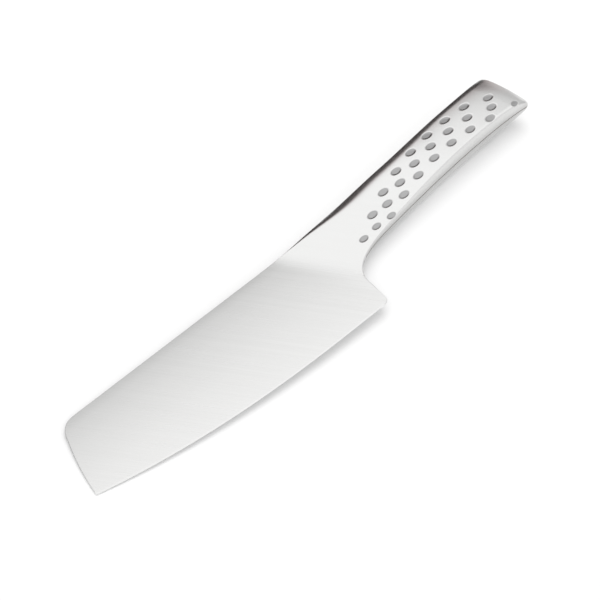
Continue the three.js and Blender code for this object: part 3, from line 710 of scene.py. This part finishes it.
def press_tree():
    tree = bpy.data.node_groups.new("Press dimples", "GeometryNodeTree")
    tree.interface.new_socket("Wall", in_out="INPUT", socket_type="NodeSocketGeometry")
    tree.interface.new_socket("Places", in_out="INPUT", socket_type="NodeSocketObject")
    for name in ("Length", "Width", "Depth"):
        tree.interface.new_socket(name, in_out="INPUT", socket_type="NodeSocketFloat")
    tree.interface.new_socket("Finish", in_out="INPUT", socket_type="NodeSocketMaterial")
    tree.interface.new_socket("Shell", in_out="OUTPUT", socket_type="NodeSocketGeometry")
    given = tree.nodes.new("NodeGroupInput").outputs
    spots = tree.nodes.new("GeometryNodeObjectInfo")
    link(tree, given["Places"], spots.inputs["Object"])
    position = tree.nodes.new("GeometryNodeInputPosition").outputs[0]
    nearest = tree.nodes.new("GeometryNodeSampleNearest")
    nearest.domain = "POINT"
    link(tree, spots.outputs["Geometry"], nearest.inputs["Geometry"])
    link(tree, position, nearest.inputs["Sample Position"])

    def at_nearest(kind, name=None):
        """A value of the nearest dimple: the attribute of that name, or its position."""
        sample = tree.nodes.new("GeometryNodeSampleIndex")
        sample.data_type = kind
        sample.domain = "POINT"
        value = position
        if name:
            read = tree.nodes.new("GeometryNodeInputNamedAttribute")
            read.data_type = kind
            read.inputs["Name"].default_value = name
            value = read.outputs["Attribute"]
        link(tree, spots.outputs["Geometry"], sample.inputs["Geometry"])
        link(tree, value, sample.inputs["Value"])
        link(tree, nearest.outputs["Index"], sample.inputs["Index"])
        return sample.outputs["Value"]

    stand = at_nearest("FLOAT_VECTOR", "stand")
    run = at_nearest("FLOAT_VECTOR", "run")
    half = math_node(tree, "MULTIPLY", at_nearest("FLOAT", "size"), 0.5)
    offset = vector_node(tree, "SUBTRACT", position, at_nearest("FLOAT_VECTOR"))
    side = vector_node(tree, "CROSS_PRODUCT", stand, run)
    half_long = math_node(tree, "MULTIPLY", half, given["Length"])
    half_wide = math_node(tree, "MULTIPLY", half, given["Width"])
    along = math_node(tree, "DIVIDE", vector_node(tree, "DOT_PRODUCT", offset, run), half_long)
    aside = math_node(tree, "DIVIDE", vector_node(tree, "DOT_PRODUCT", offset, side), half_wide)
    reach = math_node(tree, "MULTIPLY", along, along)
    reach = math_node(tree, "ADD", reach, math_node(tree, "MULTIPLY", aside, aside))
    reach = math_node(tree, "SQRT", reach)
    lift = math_node(tree, "ABSOLUTE", vector_node(tree, "DOT_PRODUCT", offset, stand))
    pressed = smooth_step(tree, reach, FLOOR_PART, 1.0, 1.0, 0.0)
    pressed = math_node(tree, "MULTIPLY", pressed, math_node(tree, "LESS_THAN", lift, OUTSIDE_ONLY))
    store = tree.nodes.new("GeometryNodeStoreNamedAttribute")
    store.data_type = "FLOAT"
    store.domain = "POINT"
    store.inputs["Name"].default_value = "dimple"
    link(tree, given["Wall"], store.inputs["Geometry"])
    link(tree, pressed, store.inputs["Value"])
    depth = math_node(tree, "MULTIPLY", math_node(tree, "MULTIPLY", pressed, given["Depth"]), -1.0)
    push = tree.nodes.new("GeometryNodeSetPosition")
    link(tree, store.outputs["Geometry"], push.inputs["Geometry"])
    link(tree, vector_node(tree, "SCALE", stand, depth), push.inputs["Offset"])
    real = tree.nodes.new("GeometryNodeRealizeInstances")
    link(tree, push.outputs["Geometry"], real.inputs[0])
    finish = tree.nodes.new("GeometryNodeSetMaterial")
    link(tree, real.outputs[0], finish.inputs["Geometry"])
    link(tree, given["Finish"], finish.inputs["Material"])
    out = tree.nodes.new("NodeGroupOutput")
    link(tree, finish.outputs[0], out.inputs[0])
    return tree


pressing = press_tree()
handle_steel = bpy.data.materials.new("polished handle steel")
print("pressing tree has", len(pressing.nodes), "nodes")


# %% Press the dimples
def press(wall, name, side):
    """The wall with its dimples pressed in, as a new piece; the plain wall is taken away."""
    mesh = bpy.data.meshes.new(name + "_places")
    mesh.from_pydata(lay(np.array([s[0] for s in seats]) * (1, 1, side)).tolist(), [], [])
    values = {
        "stand": np.array([s[1] for s in seats]) * (1, 1, side) @ turn.T,
        "run": np.array([s[2] for s in seats]) * (1, 1, side) @ turn.T,
        "size": np.array([s[3] for s in seats]),
    }
    for key, value in values.items():
        kind, field = ("FLOAT", "value") if value.ndim == 1 else ("FLOAT_VECTOR", "vector")
        mesh.attributes.new(key, kind, "POINT")
        mesh.attributes[key].data.foreach_set(field, value.astype(np.float32).ravel())
    places = bpy.data.objects.new(name + "_places", mesh)
    bpy.context.scene.collection.objects.link(places)
    nodes = wall.modifiers.new("press", "NODES")
    nodes.node_group = pressing
    inputs = {
        "Places": places,
        "Length": DIMPLE_LENGTH / 1000,
        "Width": DIMPLE_WIDTH / 1000,
        "Depth": DIMPLE_DEPTH / 1000,
        "Finish": handle_steel,
    }
    for item in pressing.interface.items_tree:
        if item.item_type == "SOCKET" and item.in_out == "INPUT" and item.name in inputs:
            nodes[item.identifier] = inputs[item.name]
    ready = wall.evaluated_get(bpy.context.evaluated_depsgraph_get())
    shell = bpy.data.objects.new(name, bpy.data.meshes.new_from_object(ready))
    bpy.context.scene.collection.objects.link(shell)
    bpy.data.objects.remove(wall)
    bpy.data.objects.remove(places)
    print(name, len(shell.data.vertices), "points,", len(shell.data.polygons), "faces")
    return shell


right_shell = press(right_wall, "right_pressed_shell", 1)
left_shell = press(left_wall, "left_pressed_shell", -1)

# %% [markdown]
# ## Neck welds
# Where the shells meet the blade, the weld is ground into one smooth hollow, so that the blade's flat face
# runs into the handle's ramp without a joint. A strip of surface does this: flat and level with the blade at
# its front edge, and as steep as the ramp at the collar.

# %% Neck weld pieces
NECK_WIDTH = 8
FEATHER = 0.01
FEATHER_UNDER = 0.4
COLLAR_PROBE = 0.004
LEAST_REACH = 10
NECK_ROWS = 28
NECK_SHARP = 50


def outline_reach(origin, way):
    """Distances along a line from origin to where it enters and leaves the blade's outline."""
    a, b = outline, np.roll(outline, -1, axis=0)
    side_a = (a - origin) @ np.array([-way[1], way[0]])
    side_b = (b - origin) @ np.array([-way[1], way[0]])
    cut = side_a * side_b < 0
    share = (side_a / (side_a - side_b))[cut][:, None]
    met = (a[cut] * (1 - share) + b[cut] * share - origin) @ way
    return met.min(), met[met > met.min() + LEAST_REACH].min()


def neck_rows():
    """Rows of points from the blade's face, level with it, to the collar, as steep as the ramp."""
    first = section(0)
    second = section(COLLAR_PROBE)
    share = (first[:, :2] - collar_low) @ collar_way
    share = (share - share[0]) / (share[-1] - share[0])
    height = first[:, 2] - blade_half(first[:, 0], first[:, 1])
    lift = (second[:, 2] - first[:, 2]) / (COLLAR_PROBE * station_length)
    rows = []
    for u in np.linspace(0, 1, NECK_ROWS):
        origin = collar_low - collar_back * NECK_WIDTH * (1 - u)
        low_end, high_end = outline_reach(origin, collar_way)
        along = mix(low_end + EDGE_BREAK, high_end - EDGE_BREAK, share)
        p = origin + np.multiply.outer(along, collar_way)
        steep = lift * ease(4 * share) * ease(4 - 4 * share)
        h = height * (3 * u * u - 2 * u**3) + NECK_WIDTH * steep * (u**3 - u * u)
        z = blade_half(p[:, 0], p[:, 1]) + np.maximum(h, FEATHER * (1 - u))
        rows.append(np.column_stack([p, z]))
    return np.array(rows)


def neck_mesh(rows):
    """A closed sheet from the rows above and the same rows laid on the blade's face."""
    n, m = rows.shape[:2]
    low = rows.copy()
    low[:, :, 2] = blade_half(low[:, :, 0], low[:, :, 1]) + FEATHER * FEATHER_UNDER
    points = np.vstack([rows.reshape(-1, 3), low.reshape(-1, 3)])
    under = n * m

    def at(i, j):
        return i * m + j

    faces = []
    for i in range(n - 1):
        for j in range(m - 1):
            square = [at(i, j), at(i + 1, j), at(i + 1, j + 1), at(i, j + 1)]
            below = [at(i, j), at(i, j + 1), at(i + 1, j + 1), at(i + 1, j)]
            faces.append(square)
            faces.append([under + k for k in below])
    rim = [at(0, j) for j in range(m)] + [at(i, m - 1) for i in range(1, n)]
    rim += [at(n - 1, j) for j in range(m - 2, -1, -1)] + [at(i, 0) for i in range(n - 2, 0, -1)]
    for a, b in zip(rim, rim[1:] + rim[:1]):
        faces.append([a, b, under + b, under + a])
    return points, faces


# %% Make the neck welds
neck_points, neck_faces = neck_mesh(neck_rows())
right_neck = make_piece("right_ground_neck", neck_points, neck_faces, NECK_SHARP)
left_neck = make_piece("left_ground_neck", neck_points * mirror, [f[::-1] for f in neck_faces], NECK_SHARP)
add_polish(right_neck, neck_points)
add_polish(left_neck, neck_points)

# %% [markdown]
# ## Seam welds
# Behind the blade's shoulder the two shells meet rim to rim. A thin weld fills the gap, set a hair below the
# surface, so it shows as one fine dark line round the belly, the butt and the spine.

# %% Seam weld pieces
SEAM_DEPTH = 1.2
SEAM_SUNK = 0.15
SEAM_THICK = 0.5
SEAM_SHARP = 30


def seam_piece(name, chain, inward):
    """A thin closed strip along a chain of points, from just below the surface inwards."""
    outer = chain + inward * SEAM_SUNK
    inner = chain + inward * SEAM_DEPTH
    half = SEAM_THICK / 2
    ring = [(outer, half), (inner, half), (inner, -half), (outer, -half)]
    n = len(chain)
    points = np.vstack([np.column_stack([p, np.full(n, z)]) for p, z in ring])
    faces = [[0, n, 2 * n, 3 * n], [n - 1, 4 * n - 1, 3 * n - 1, 2 * n - 1]]
    for k in range(4):
        a, b = k * n, ((k + 1) % 4) * n
        faces += [[a + i, a + i + 1, b + i + 1, b + i] for i in range(n - 1)]
    return make_piece(name, points, faces, SEAM_SHARP)


# %% Make the seam welds
belly_rim = grid[:, 0, :2]
spine_rim = grid[:, -1, :2]
across_all = np.array([station(s)[2] for s in station_list()])
belly_keep = belly_rim[:, 0] > SHOULDER_X + SEAM_DEPTH
spine_keep = spine_rim[:, 0] > SHOULDER_X + SEAM_DEPTH
belly_seam = seam_piece("belly_seam", belly_rim[belly_keep][:-1], across_all[belly_keep][:-1])
spine_seam = seam_piece("spine_seam", spine_rim[spine_keep][:-1], -across_all[spine_keep][:-1])
butt_seam = seam_piece("butt_seam", grid[-1, 2:-2, :2], np.array([-1.0, 0.0]))

# %% [markdown]
# ## Brushed steel
# All the steel is satin: it mirrors the room softly, with fine grinding lines that run on a slant across the
# blade and on over the neck. A stretched noise on Object coordinates makes the lines. It drives a little of
# the colour, the roughness and a slight bump, so the lines catch light and not just paint. The dimples are
# matt and grey. Shade is also painted into the colour: the blade darkens towards its spine, and the neck's
# hollow, the dimples' walls, the walls beside the seams and the blade's blunt front are painted darker.

# %% Steel values
# Lines are given as steps per metre along and across the grinding direction, and a noise detail.
# The blade's tones are painted shade in place of its reflections: they run from 0 at the spine, darker,
# to 1 at the edge, lighter.
GRIND_ANGLE = math.radians(-50.8)
FINE_LINES = (12, 2200, 3.0)
BROAD_LINES = (6, 520, 2.0)
SEAM_LINES = (60, 1500, 3.0)
FINE_SHARE = 0.75
PAINTED_BLADE_SHADE = [(0, 0.46), (0.1, 0.54), (0.28, 0.597), (0.6, 0.662), (1, 0.712)]
PAINTED_SHADE_TINT = 0.992
LINE_DARK = (0.97, 0.97, 0.97)
LINE_LIGHT = (1.03, 1.03, 1.03)
POLISHED_DARK = (0.675, 0.675, 0.67)
POLISHED_LIGHT = (0.695, 0.695, 0.69)
DIMPLE_TONE = (0.39, 0.39, 0.39)
# Tones and shares of painted shade: in the neck's hollow, on the dimples' walls, beside the seams and on the
# blade's blunt front.
SHADE_TONE = (0.1, 0.1, 0.1)
SEAM_SHADE_TONE = (0.05, 0.045, 0.04)
FRONT_SHADE_TONE = (0.05, 0.05, 0.05)
HOLLOW_SHADE = 0.065
DIMPLE_RIM_SHADE = 0.48
SEAM_SHADE = 0.2
SEAM_SHADE_REACH = 0.005
FRONT_SHADE = 0.55
GROUND_ROUGHNESS = 0.27
POLISHED_ROUGHNESS = 0.19
LINE_ROUGHNESS = 0.06
DIMPLE_ROUGHNESS = 0.2
GROUND_RELIEF = 0.10
POLISHED_RELIEF = 0.04
LINE_HEIGHT = 0.00001


# %% Steel helpers
def node(tree, kind, **sockets):
    """A new node with the given values on its sockets."""
    made = tree.nodes.new(kind)
    for name, value in sockets.items():
        made.inputs[name.replace("_", " ")].default_value = value
    return made


def ground_lines(tree, along, across, detail):
    """Noise stretched along the grinding direction, with its steps per metre along and across the lines."""
    place = node(tree, "ShaderNodeTexCoord")
    mapping = node(tree, "ShaderNodeMapping")
    mapping.vector_type = "TEXTURE"
    mapping.inputs["Rotation"].default_value = (0, 0, GRIND_ANGLE)
    mapping.inputs["Scale"].default_value = (1 / along, 1 / across, 1 / across)
    noise = node(tree, "ShaderNodeTexNoise", Scale=1.0, Detail=detail, Roughness=0.6)
    link(tree, place.outputs["Object"], mapping.inputs[0])
    link(tree, mapping.outputs[0], noise.inputs["Vector"])
    return noise.outputs["Fac"]


def blend(tree, factor, a, b, kind="MIX"):
    """Colour a where the factor is 0 and b where it is 1."""
    mixed = tree.nodes.new("ShaderNodeMix")
    mixed.data_type = "RGBA"
    mixed.blend_type = kind
    if isinstance(factor, float):
        mixed.inputs["Factor"].default_value = factor
    else:
        link(tree, factor, mixed.inputs["Factor"])
    for socket, value in zip((mixed.inputs[6], mixed.inputs[7]), (a, b)):
        if isinstance(value, tuple):
            socket.default_value = (*value, 1)
        else:
            link(tree, value, socket)
    return mixed.outputs[2]


def attribute(tree, name):
    read = node(tree, "ShaderNodeAttribute")
    read.attribute_name = name
    return read.outputs["Fac"]


def place_parts(tree):
    """Node whose outputs are the parts of a point's place, in Object coordinates."""
    parts = tree.nodes.new("ShaderNodeSeparateXYZ")
    link(tree, node(tree, "ShaderNodeTexCoord").outputs["Object"], parts.inputs[0])
    return parts


def facing(tree):
    """Node whose outputs are the parts of the direction that the surface faces."""
    parts = tree.nodes.new("ShaderNodeSeparateXYZ")
    link(tree, node(tree, "ShaderNodeNewGeometry").outputs["Normal"], parts.inputs[0])
    return parts


def beside_seam(tree):
    """Mask of painted shade: 1 on the walls right beside the seam between the shells, falling to 0 in 5 mm.
    """
    split = place_parts(tree)
    height = -float(turn[:, 2] @ shift)
    for axis in range(3):
        part = math_node(tree, "MULTIPLY", split.outputs[axis], float(turn[axis, 2]))
        height = math_node(tree, "ADD", part, height)
    near = smooth_step(tree, math_node(tree, "ABSOLUTE", height), 0.0, SEAM_SHADE_REACH, 1.0, 0.0)
    upright = math_node(tree, "ABSOLUTE", facing(tree).outputs["Z"])
    wall = smooth_step(tree, upright, 0.3, 0.7, 1.0, 0.0)
    return math_node(tree, "MULTIPLY", near, wall)


def metal(material):
    """The node tree and the shader of a material that is set to metal."""
    material.use_nodes = True
    tree = material.node_tree
    shader = tree.nodes["Principled BSDF"]
    shader.inputs["Metallic"].default_value = 1.0
    return tree, shader


# %% Satin steel: colours
def painted_blade_shade_with_lines(tree, lines):
    """The ground blade's painted shade, dark at the spine and light at the edge, with its lines."""
    # Painted shade: the blade's colour ramps from dark at the spine to light at the edge.
    tones = tree.nodes.new("ShaderNodeValToRGB")
    tones.color_ramp.elements.remove(tones.color_ramp.elements[1])
    for share, tone in PAINTED_BLADE_SHADE:
        stop = tones.color_ramp.elements.new(share) if share else tones.color_ramp.elements[0]
        stop.color = (tone, tone, tone * PAINTED_SHADE_TINT, 1)
    across = node(tree, "ShaderNodeMapRange")
    across.inputs["From Min"].default_value = shift[1]
    across.inputs["From Max"].default_value = shift[1] - HEEL_DEPTH / 1000
    link(tree, place_parts(tree).outputs["Y"], across.inputs["Value"])
    link(tree, across.outputs["Result"], tones.inputs[0])
    shade = blend(tree, lines, LINE_DARK, LINE_LIGHT)
    return blend(tree, 1.0, tones.outputs[0], shade, "MULTIPLY")


def shaded(tree, colour, dimple, seam_shade, front_shade):
    """The colour with painted shade and grey dimples, and how matt the dimples make it."""
    # Painted shade: the neck's hollow is darkened in the colour.
    hollow = math_node(tree, "MULTIPLY", attribute(tree, "hollow"), HOLLOW_SHADE)
    colour = blend(tree, hollow, colour, SHADE_TONE)
    matt = smooth_step(tree, dimple, 0.05, 0.5, 0.0, 1.0)
    colour = blend(tree, matt, colour, DIMPLE_TONE)
    # Painted shade: the dimples' walls are darkened in the colour, most halfway in.
    rim = math_node(tree, "MULTIPLY", dimple, math_node(tree, "SUBTRACT", 1.0, dimple))
    colour = blend(tree, math_node(tree, "MULTIPLY", rim, DIMPLE_RIM_SHADE), colour, SHADE_TONE)
    # Painted shade: the walls beside the seam are darkened, brownish, in the colour.
    seam = math_node(tree, "MULTIPLY", beside_seam(tree), seam_shade)
    colour = blend(tree, seam, colour, SEAM_SHADE_TONE)
    # Painted shade: the blade's blunt front, the faces turned towards the toe, is darkened in the colour.
    front = smooth_step(tree, facing(tree).outputs["X"], -0.85, -0.7, front_shade, 0.0)
    return blend(tree, front, colour, FRONT_SHADE_TONE), matt


# %% Satin steel: the whole finish
def satin_steel(material, seam_shade, front_shade):
    """Steel that goes from ground to polished, with painted shade in the hollow and matt dimples."""
    tree, shader = metal(material)
    polish = attribute(tree, "polish")
    dimple = attribute(tree, "dimple")
    fine = ground_lines(tree, *FINE_LINES)
    broad = ground_lines(tree, *BROAD_LINES)
    lines = math_node(tree, "MULTIPLY", fine, FINE_SHARE)
    lines = math_node(tree, "ADD", lines, math_node(tree, "MULTIPLY", broad, 1 - FINE_SHARE))
    lines = smooth_step(tree, lines, 0.32, 0.68, 0.0, 1.0)
    polished = blend(tree, lines, POLISHED_DARK, POLISHED_LIGHT)
    colour = blend(tree, polish, painted_blade_shade_with_lines(tree, lines), polished)
    colour, matt = shaded(tree, colour, dimple, seam_shade, front_shade)
    link(tree, colour, shader.inputs["Base Color"])
    rough = smooth_step(tree, polish, 0.0, 1.0, GROUND_ROUGHNESS, POLISHED_ROUGHNESS)
    rough = math_node(tree, "ADD", rough, smooth_step(tree, fine, 0.3, 0.7, 0.0, LINE_ROUGHNESS))
    rough = math_node(tree, "ADD", rough, math_node(tree, "MULTIPLY", matt, DIMPLE_ROUGHNESS))
    link(tree, rough, shader.inputs["Roughness"])
    relief = node(tree, "ShaderNodeBump", Distance=LINE_HEIGHT)
    strength = smooth_step(tree, polish, 0.0, 1.0, GROUND_RELIEF, POLISHED_RELIEF)
    link(tree, strength, relief.inputs["Strength"])
    link(tree, fine, relief.inputs["Height"])
    link(tree, relief.outputs[0], shader.inputs["Normal"])


# %% Dull steel of the seams
def dull_steel(material, dark, light, rough_low, rough_high):
    """Plain dull steel with lines, between two colours and two roughnesses."""
    tree, shader = metal(material)
    lines = ground_lines(tree, *SEAM_LINES)
    colour = blend(tree, smooth_step(tree, lines, 0.3, 0.7, 0.0, 1.0), dark, light)
    link(tree, colour, shader.inputs["Base Color"])
    link(tree, smooth_step(tree, lines, 0.3, 0.7, rough_low, rough_high), shader.inputs["Roughness"])


# %% Make the steel finishes
blade_steel = bpy.data.materials.new("ground blade steel")
neck_steel = bpy.data.materials.new("ground neck steel")
satin_steel(blade_steel, 0.0, FRONT_SHADE)
satin_steel(handle_steel, SEAM_SHADE, 0.0)
satin_steel(neck_steel, 0.0, 0.0)
seam_steel = bpy.data.materials.new("dull seam steel")
dull_steel(seam_steel, (0.16, 0.14, 0.12), (0.24, 0.21, 0.18), 0.5, 0.65)
print("steel finishes:", [m.name for m in (blade_steel, handle_steel, neck_steel, seam_steel)])

# %% [markdown]
# ## Sand
# The sand is sealed in the handle to balance the knife. Nobody sees it, but it gets its grains all the same.

# %% Sand material
sand_grain = bpy.data.materials.new("dry sand")
sand_grain.use_nodes = True
tree = sand_grain.node_tree
grain = node(tree, "ShaderNodeTexNoise", Scale=2600.0, Detail=2.0)
place = node(tree, "ShaderNodeTexCoord")
link(tree, place.outputs["Object"], grain.inputs["Vector"])
sand_colour = blend(tree, grain.outputs["Fac"], (0.42, 0.33, 0.22), (0.66, 0.56, 0.42))
link(tree, sand_colour, tree.nodes["Principled BSDF"].inputs["Base Color"])
tree.nodes["Principled BSDF"].inputs["Roughness"].default_value = 0.95
print("sand has", len(tree.nodes), "nodes")

# %% Dress the pieces
dressed = [
    (blade, blade_steel, "blade_steel", "blade"),
    (right_shell, handle_steel, "handle_steel", "right_handle_shell"),
    (left_shell, handle_steel, "handle_steel", "left_handle_shell"),
    (right_neck, neck_steel, "weld_steel", "right_neck_weld"),
    (left_neck, neck_steel, "weld_steel", "left_neck_weld"),
    (belly_seam, seam_steel, "weld_steel", "belly_seam_weld"),
    (spine_seam, seam_steel, "weld_steel", "spine_seam_weld"),
    (butt_seam, seam_steel, "weld_steel", "butt_seam_weld"),
]
for piece, finish, slot, node_name in dressed:
    piece.data.materials.clear()
    piece.data.materials.append(finish)
    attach(piece, "root")
    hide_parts(node_name)
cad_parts["balance_sand"].data.materials.clear()
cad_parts["balance_sand"].data.materials.append(sand_grain)
print("dressed", len(dressed), "pieces")

# %% [markdown]
# ## Table
# The table is pure white in the picture and still takes the knife's soft shadow. A small part of its white
# is given off to the camera and to mirrors, and the rest is plain diffuse white that the shadow can darken.

# %% White table
TABLE_HALF = 4
TABLE_TONE = (0.6, 0.6, 0.6, 1)
TABLE_GLOW = 0.2
table_corners = [(TABLE_HALF * x, TABLE_HALF * y, 0) for x, y in ((-1, -1), (1, -1), (1, 1), (-1, 1))]
table_mesh = bpy.data.meshes.new("table")
table_mesh.from_pydata(table_corners, [], [(0, 1, 2, 3)])
table = bpy.data.objects.new("table", table_mesh)
bpy.context.scene.collection.objects.link(table)
table_white = bpy.data.materials.new("white table")
table_white.use_nodes = True
tree = table_white.node_tree
tree.nodes.remove(tree.nodes["Principled BSDF"])
matt = node(tree, "ShaderNodeBsdfDiffuse", Color=TABLE_TONE)
glow = node(tree, "ShaderNodeEmission", Color=(1, 1, 1, 1))
path = node(tree, "ShaderNodeLightPath")
seen = math_node(tree, "MAXIMUM", path.outputs["Is Camera Ray"], path.outputs["Is Glossy Ray"])
seen = math_node(tree, "MAXIMUM", seen, path.outputs["Is Transmission Ray"])
link(tree, math_node(tree, "MULTIPLY", seen, TABLE_GLOW), glow.inputs["Strength"])
both = tree.nodes.new("ShaderNodeAddShader")
link(tree, matt.outputs[0], both.inputs[0])
link(tree, glow.outputs[0], both.inputs[1])
link(tree, both.outputs[0], tree.nodes["Material Output"].inputs["Surface"])
table_mesh.materials.append(table_white)
table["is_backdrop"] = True
print("table made")

# %% [markdown]
# ## Studio
# Satin steel is only as good as what it mirrors. The studio is a soft dome: bright overhead, grey past the
# butt, and dark and slightly warm low down on the spine side. The dark part draws the dark band along the
# handle's spine, and a pale card beside it keeps the butt light. One broad lamp behind and above throws the
# soft shadow towards the viewer.

# %% Dome
def level_way(degrees):
    """A level direction, turned from +X towards +Y."""
    return Vector((math.cos(math.radians(degrees)), math.sin(math.radians(degrees)), 0))


GREY_WAY = level_way(10)
CARD_WAY = level_way(12)
DARK_WAY = level_way(72)
# Each shade starts and ends where a direction points that far its way, and leaves that share of the light.
SHADES = [
    (GREY_WAY, 0.37, 0.45, 0.96),
    (GREY_WAY, 0.53, 0.61, 0.72),
    (DARK_WAY, 0.47, 0.68, 0.88),
    (DARK_WAY, 0.63, 0.82, 0.07),
]
CARD_LIGHT = 0.7
OVERHEAD_LIGHT = 1.3
WARM_LIGHT = (1.12, 0.98, 0.97)
world = bpy.data.worlds.new("studio")
bpy.context.scene.world = world
world.use_nodes = True
tree = world.node_tree
back = tree.nodes["Background"]
place = node(tree, "ShaderNodeTexCoord")
split = tree.nodes.new("ShaderNodeSeparateXYZ")
link(tree, place.outputs["Generated"], split.inputs[0])


def toward(way):
    """How far a direction of the dome points the given way, from -1 to 1."""
    x = math_node(tree, "MULTIPLY", split.outputs["X"], way.x)
    return math_node(tree, "ADD", x, math_node(tree, "MULTIPLY", split.outputs["Y"], way.y))


level = smooth_step(tree, split.outputs["Z"], 0.0, 0.6, 1.0, OVERHEAD_LIGHT)
for way, start, end, share in SHADES:
    level = math_node(tree, "MULTIPLY", level, smooth_step(tree, toward(way), start, end, 1.0, share))
level = math_node(tree, "MAXIMUM", level, smooth_step(tree, toward(CARD_WAY), 0.82, 0.96, 0.0, CARD_LIGHT))
seen = node(tree, "ShaderNodeLightPath").outputs["Is Camera Ray"]
level = math_node(tree, "MAXIMUM", level, seen)
link(tree, level, back.inputs["Strength"])
warm = smooth_step(tree, toward(DARK_WAY), 0.6, 0.8, 0.0, 1.0)
warm = math_node(tree, "MULTIPLY", warm, math_node(tree, "SUBTRACT", 1.0, seen))
link(tree, blend(tree, warm, (1.0, 1.0, 1.0), WARM_LIGHT), back.inputs["Color"])
print("dome has", len(SHADES), "shades")

# %% Lamp
FAR_WAY = Vector((0.747, 0.665, 0)).normalized()
LAMP_SIZE = 0.7
LAMP_POWER = 4.5
LAMP_BACK = 0.45
LAMP_HEIGHT = 0.9
lamp_data = bpy.data.lights.new("back softbox", "AREA")
lamp_data.shape = "SQUARE"
lamp_data.size = LAMP_SIZE
lamp_data.energy = LAMP_POWER
lamp = bpy.data.objects.new("back softbox", lamp_data)
lamp.location = FAR_WAY * LAMP_BACK + Vector((0, 0, LAMP_HEIGHT))
lamp.rotation_euler = (-lamp.location).to_track_quat("-Z", "Y").to_euler()
lamp.visible_glossy = False
bpy.context.scene.collection.objects.link(lamp)
print("lamp at", [round(v, 2) for v in lamp.location], "m")

# %% [markdown]
# ## Camera
# The photograph was taken with a long lens from the knife's edge side, looking down at about 56 degrees. The
# camera below repeats that view, with the slight tilt that the knife has in the frame.

# %% Camera
VIEW_AZIMUTH = math.radians(-48.030)
VIEW_HEIGHT = math.radians(56.075)
VIEW_ROLL = math.radians(5.797)
VIEW_DISTANCE = 0.960
VIEW_TARGET = Vector((-0.013838, -0.002261, 0.006720))
LENS_PIXELS = 2096.96
IMAGE_PIXELS = 600
away = Vector((
    math.sin(VIEW_AZIMUTH) * math.cos(VIEW_HEIGHT),
    -math.cos(VIEW_AZIMUTH) * math.cos(VIEW_HEIGHT),
    math.sin(VIEW_HEIGHT),
))
camera_data = bpy.data.cameras.new("camera")
camera_data.sensor_width = 36
camera_data.lens = LENS_PIXELS * camera_data.sensor_width / IMAGE_PIXELS
camera = bpy.data.objects.new("camera", camera_data)
camera.rotation_mode = "QUATERNION"
level_turn = (-away).to_track_quat("-Z", "Y").to_matrix().to_4x4()
stand_point = Matrix.Translation(VIEW_TARGET + away * VIEW_DISTANCE)
camera.matrix_world = stand_point @ level_turn @ Matrix.Rotation(VIEW_ROLL, 4, "Z")
bpy.context.scene.collection.objects.link(camera)
bpy.context.scene.camera = camera
bpy.context.scene.view_settings.view_transform = "Standard"
print("lens", round(camera_data.lens, 1), "mm")

# %% [markdown]
# ## Finish
# The dressed knife must keep the CAD model's size, so the dressed knife's box is printed.

# %% Print the dressed size
low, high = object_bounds()
print("visual box", [round(v * 1000, 1) for v in high - low], "mm")
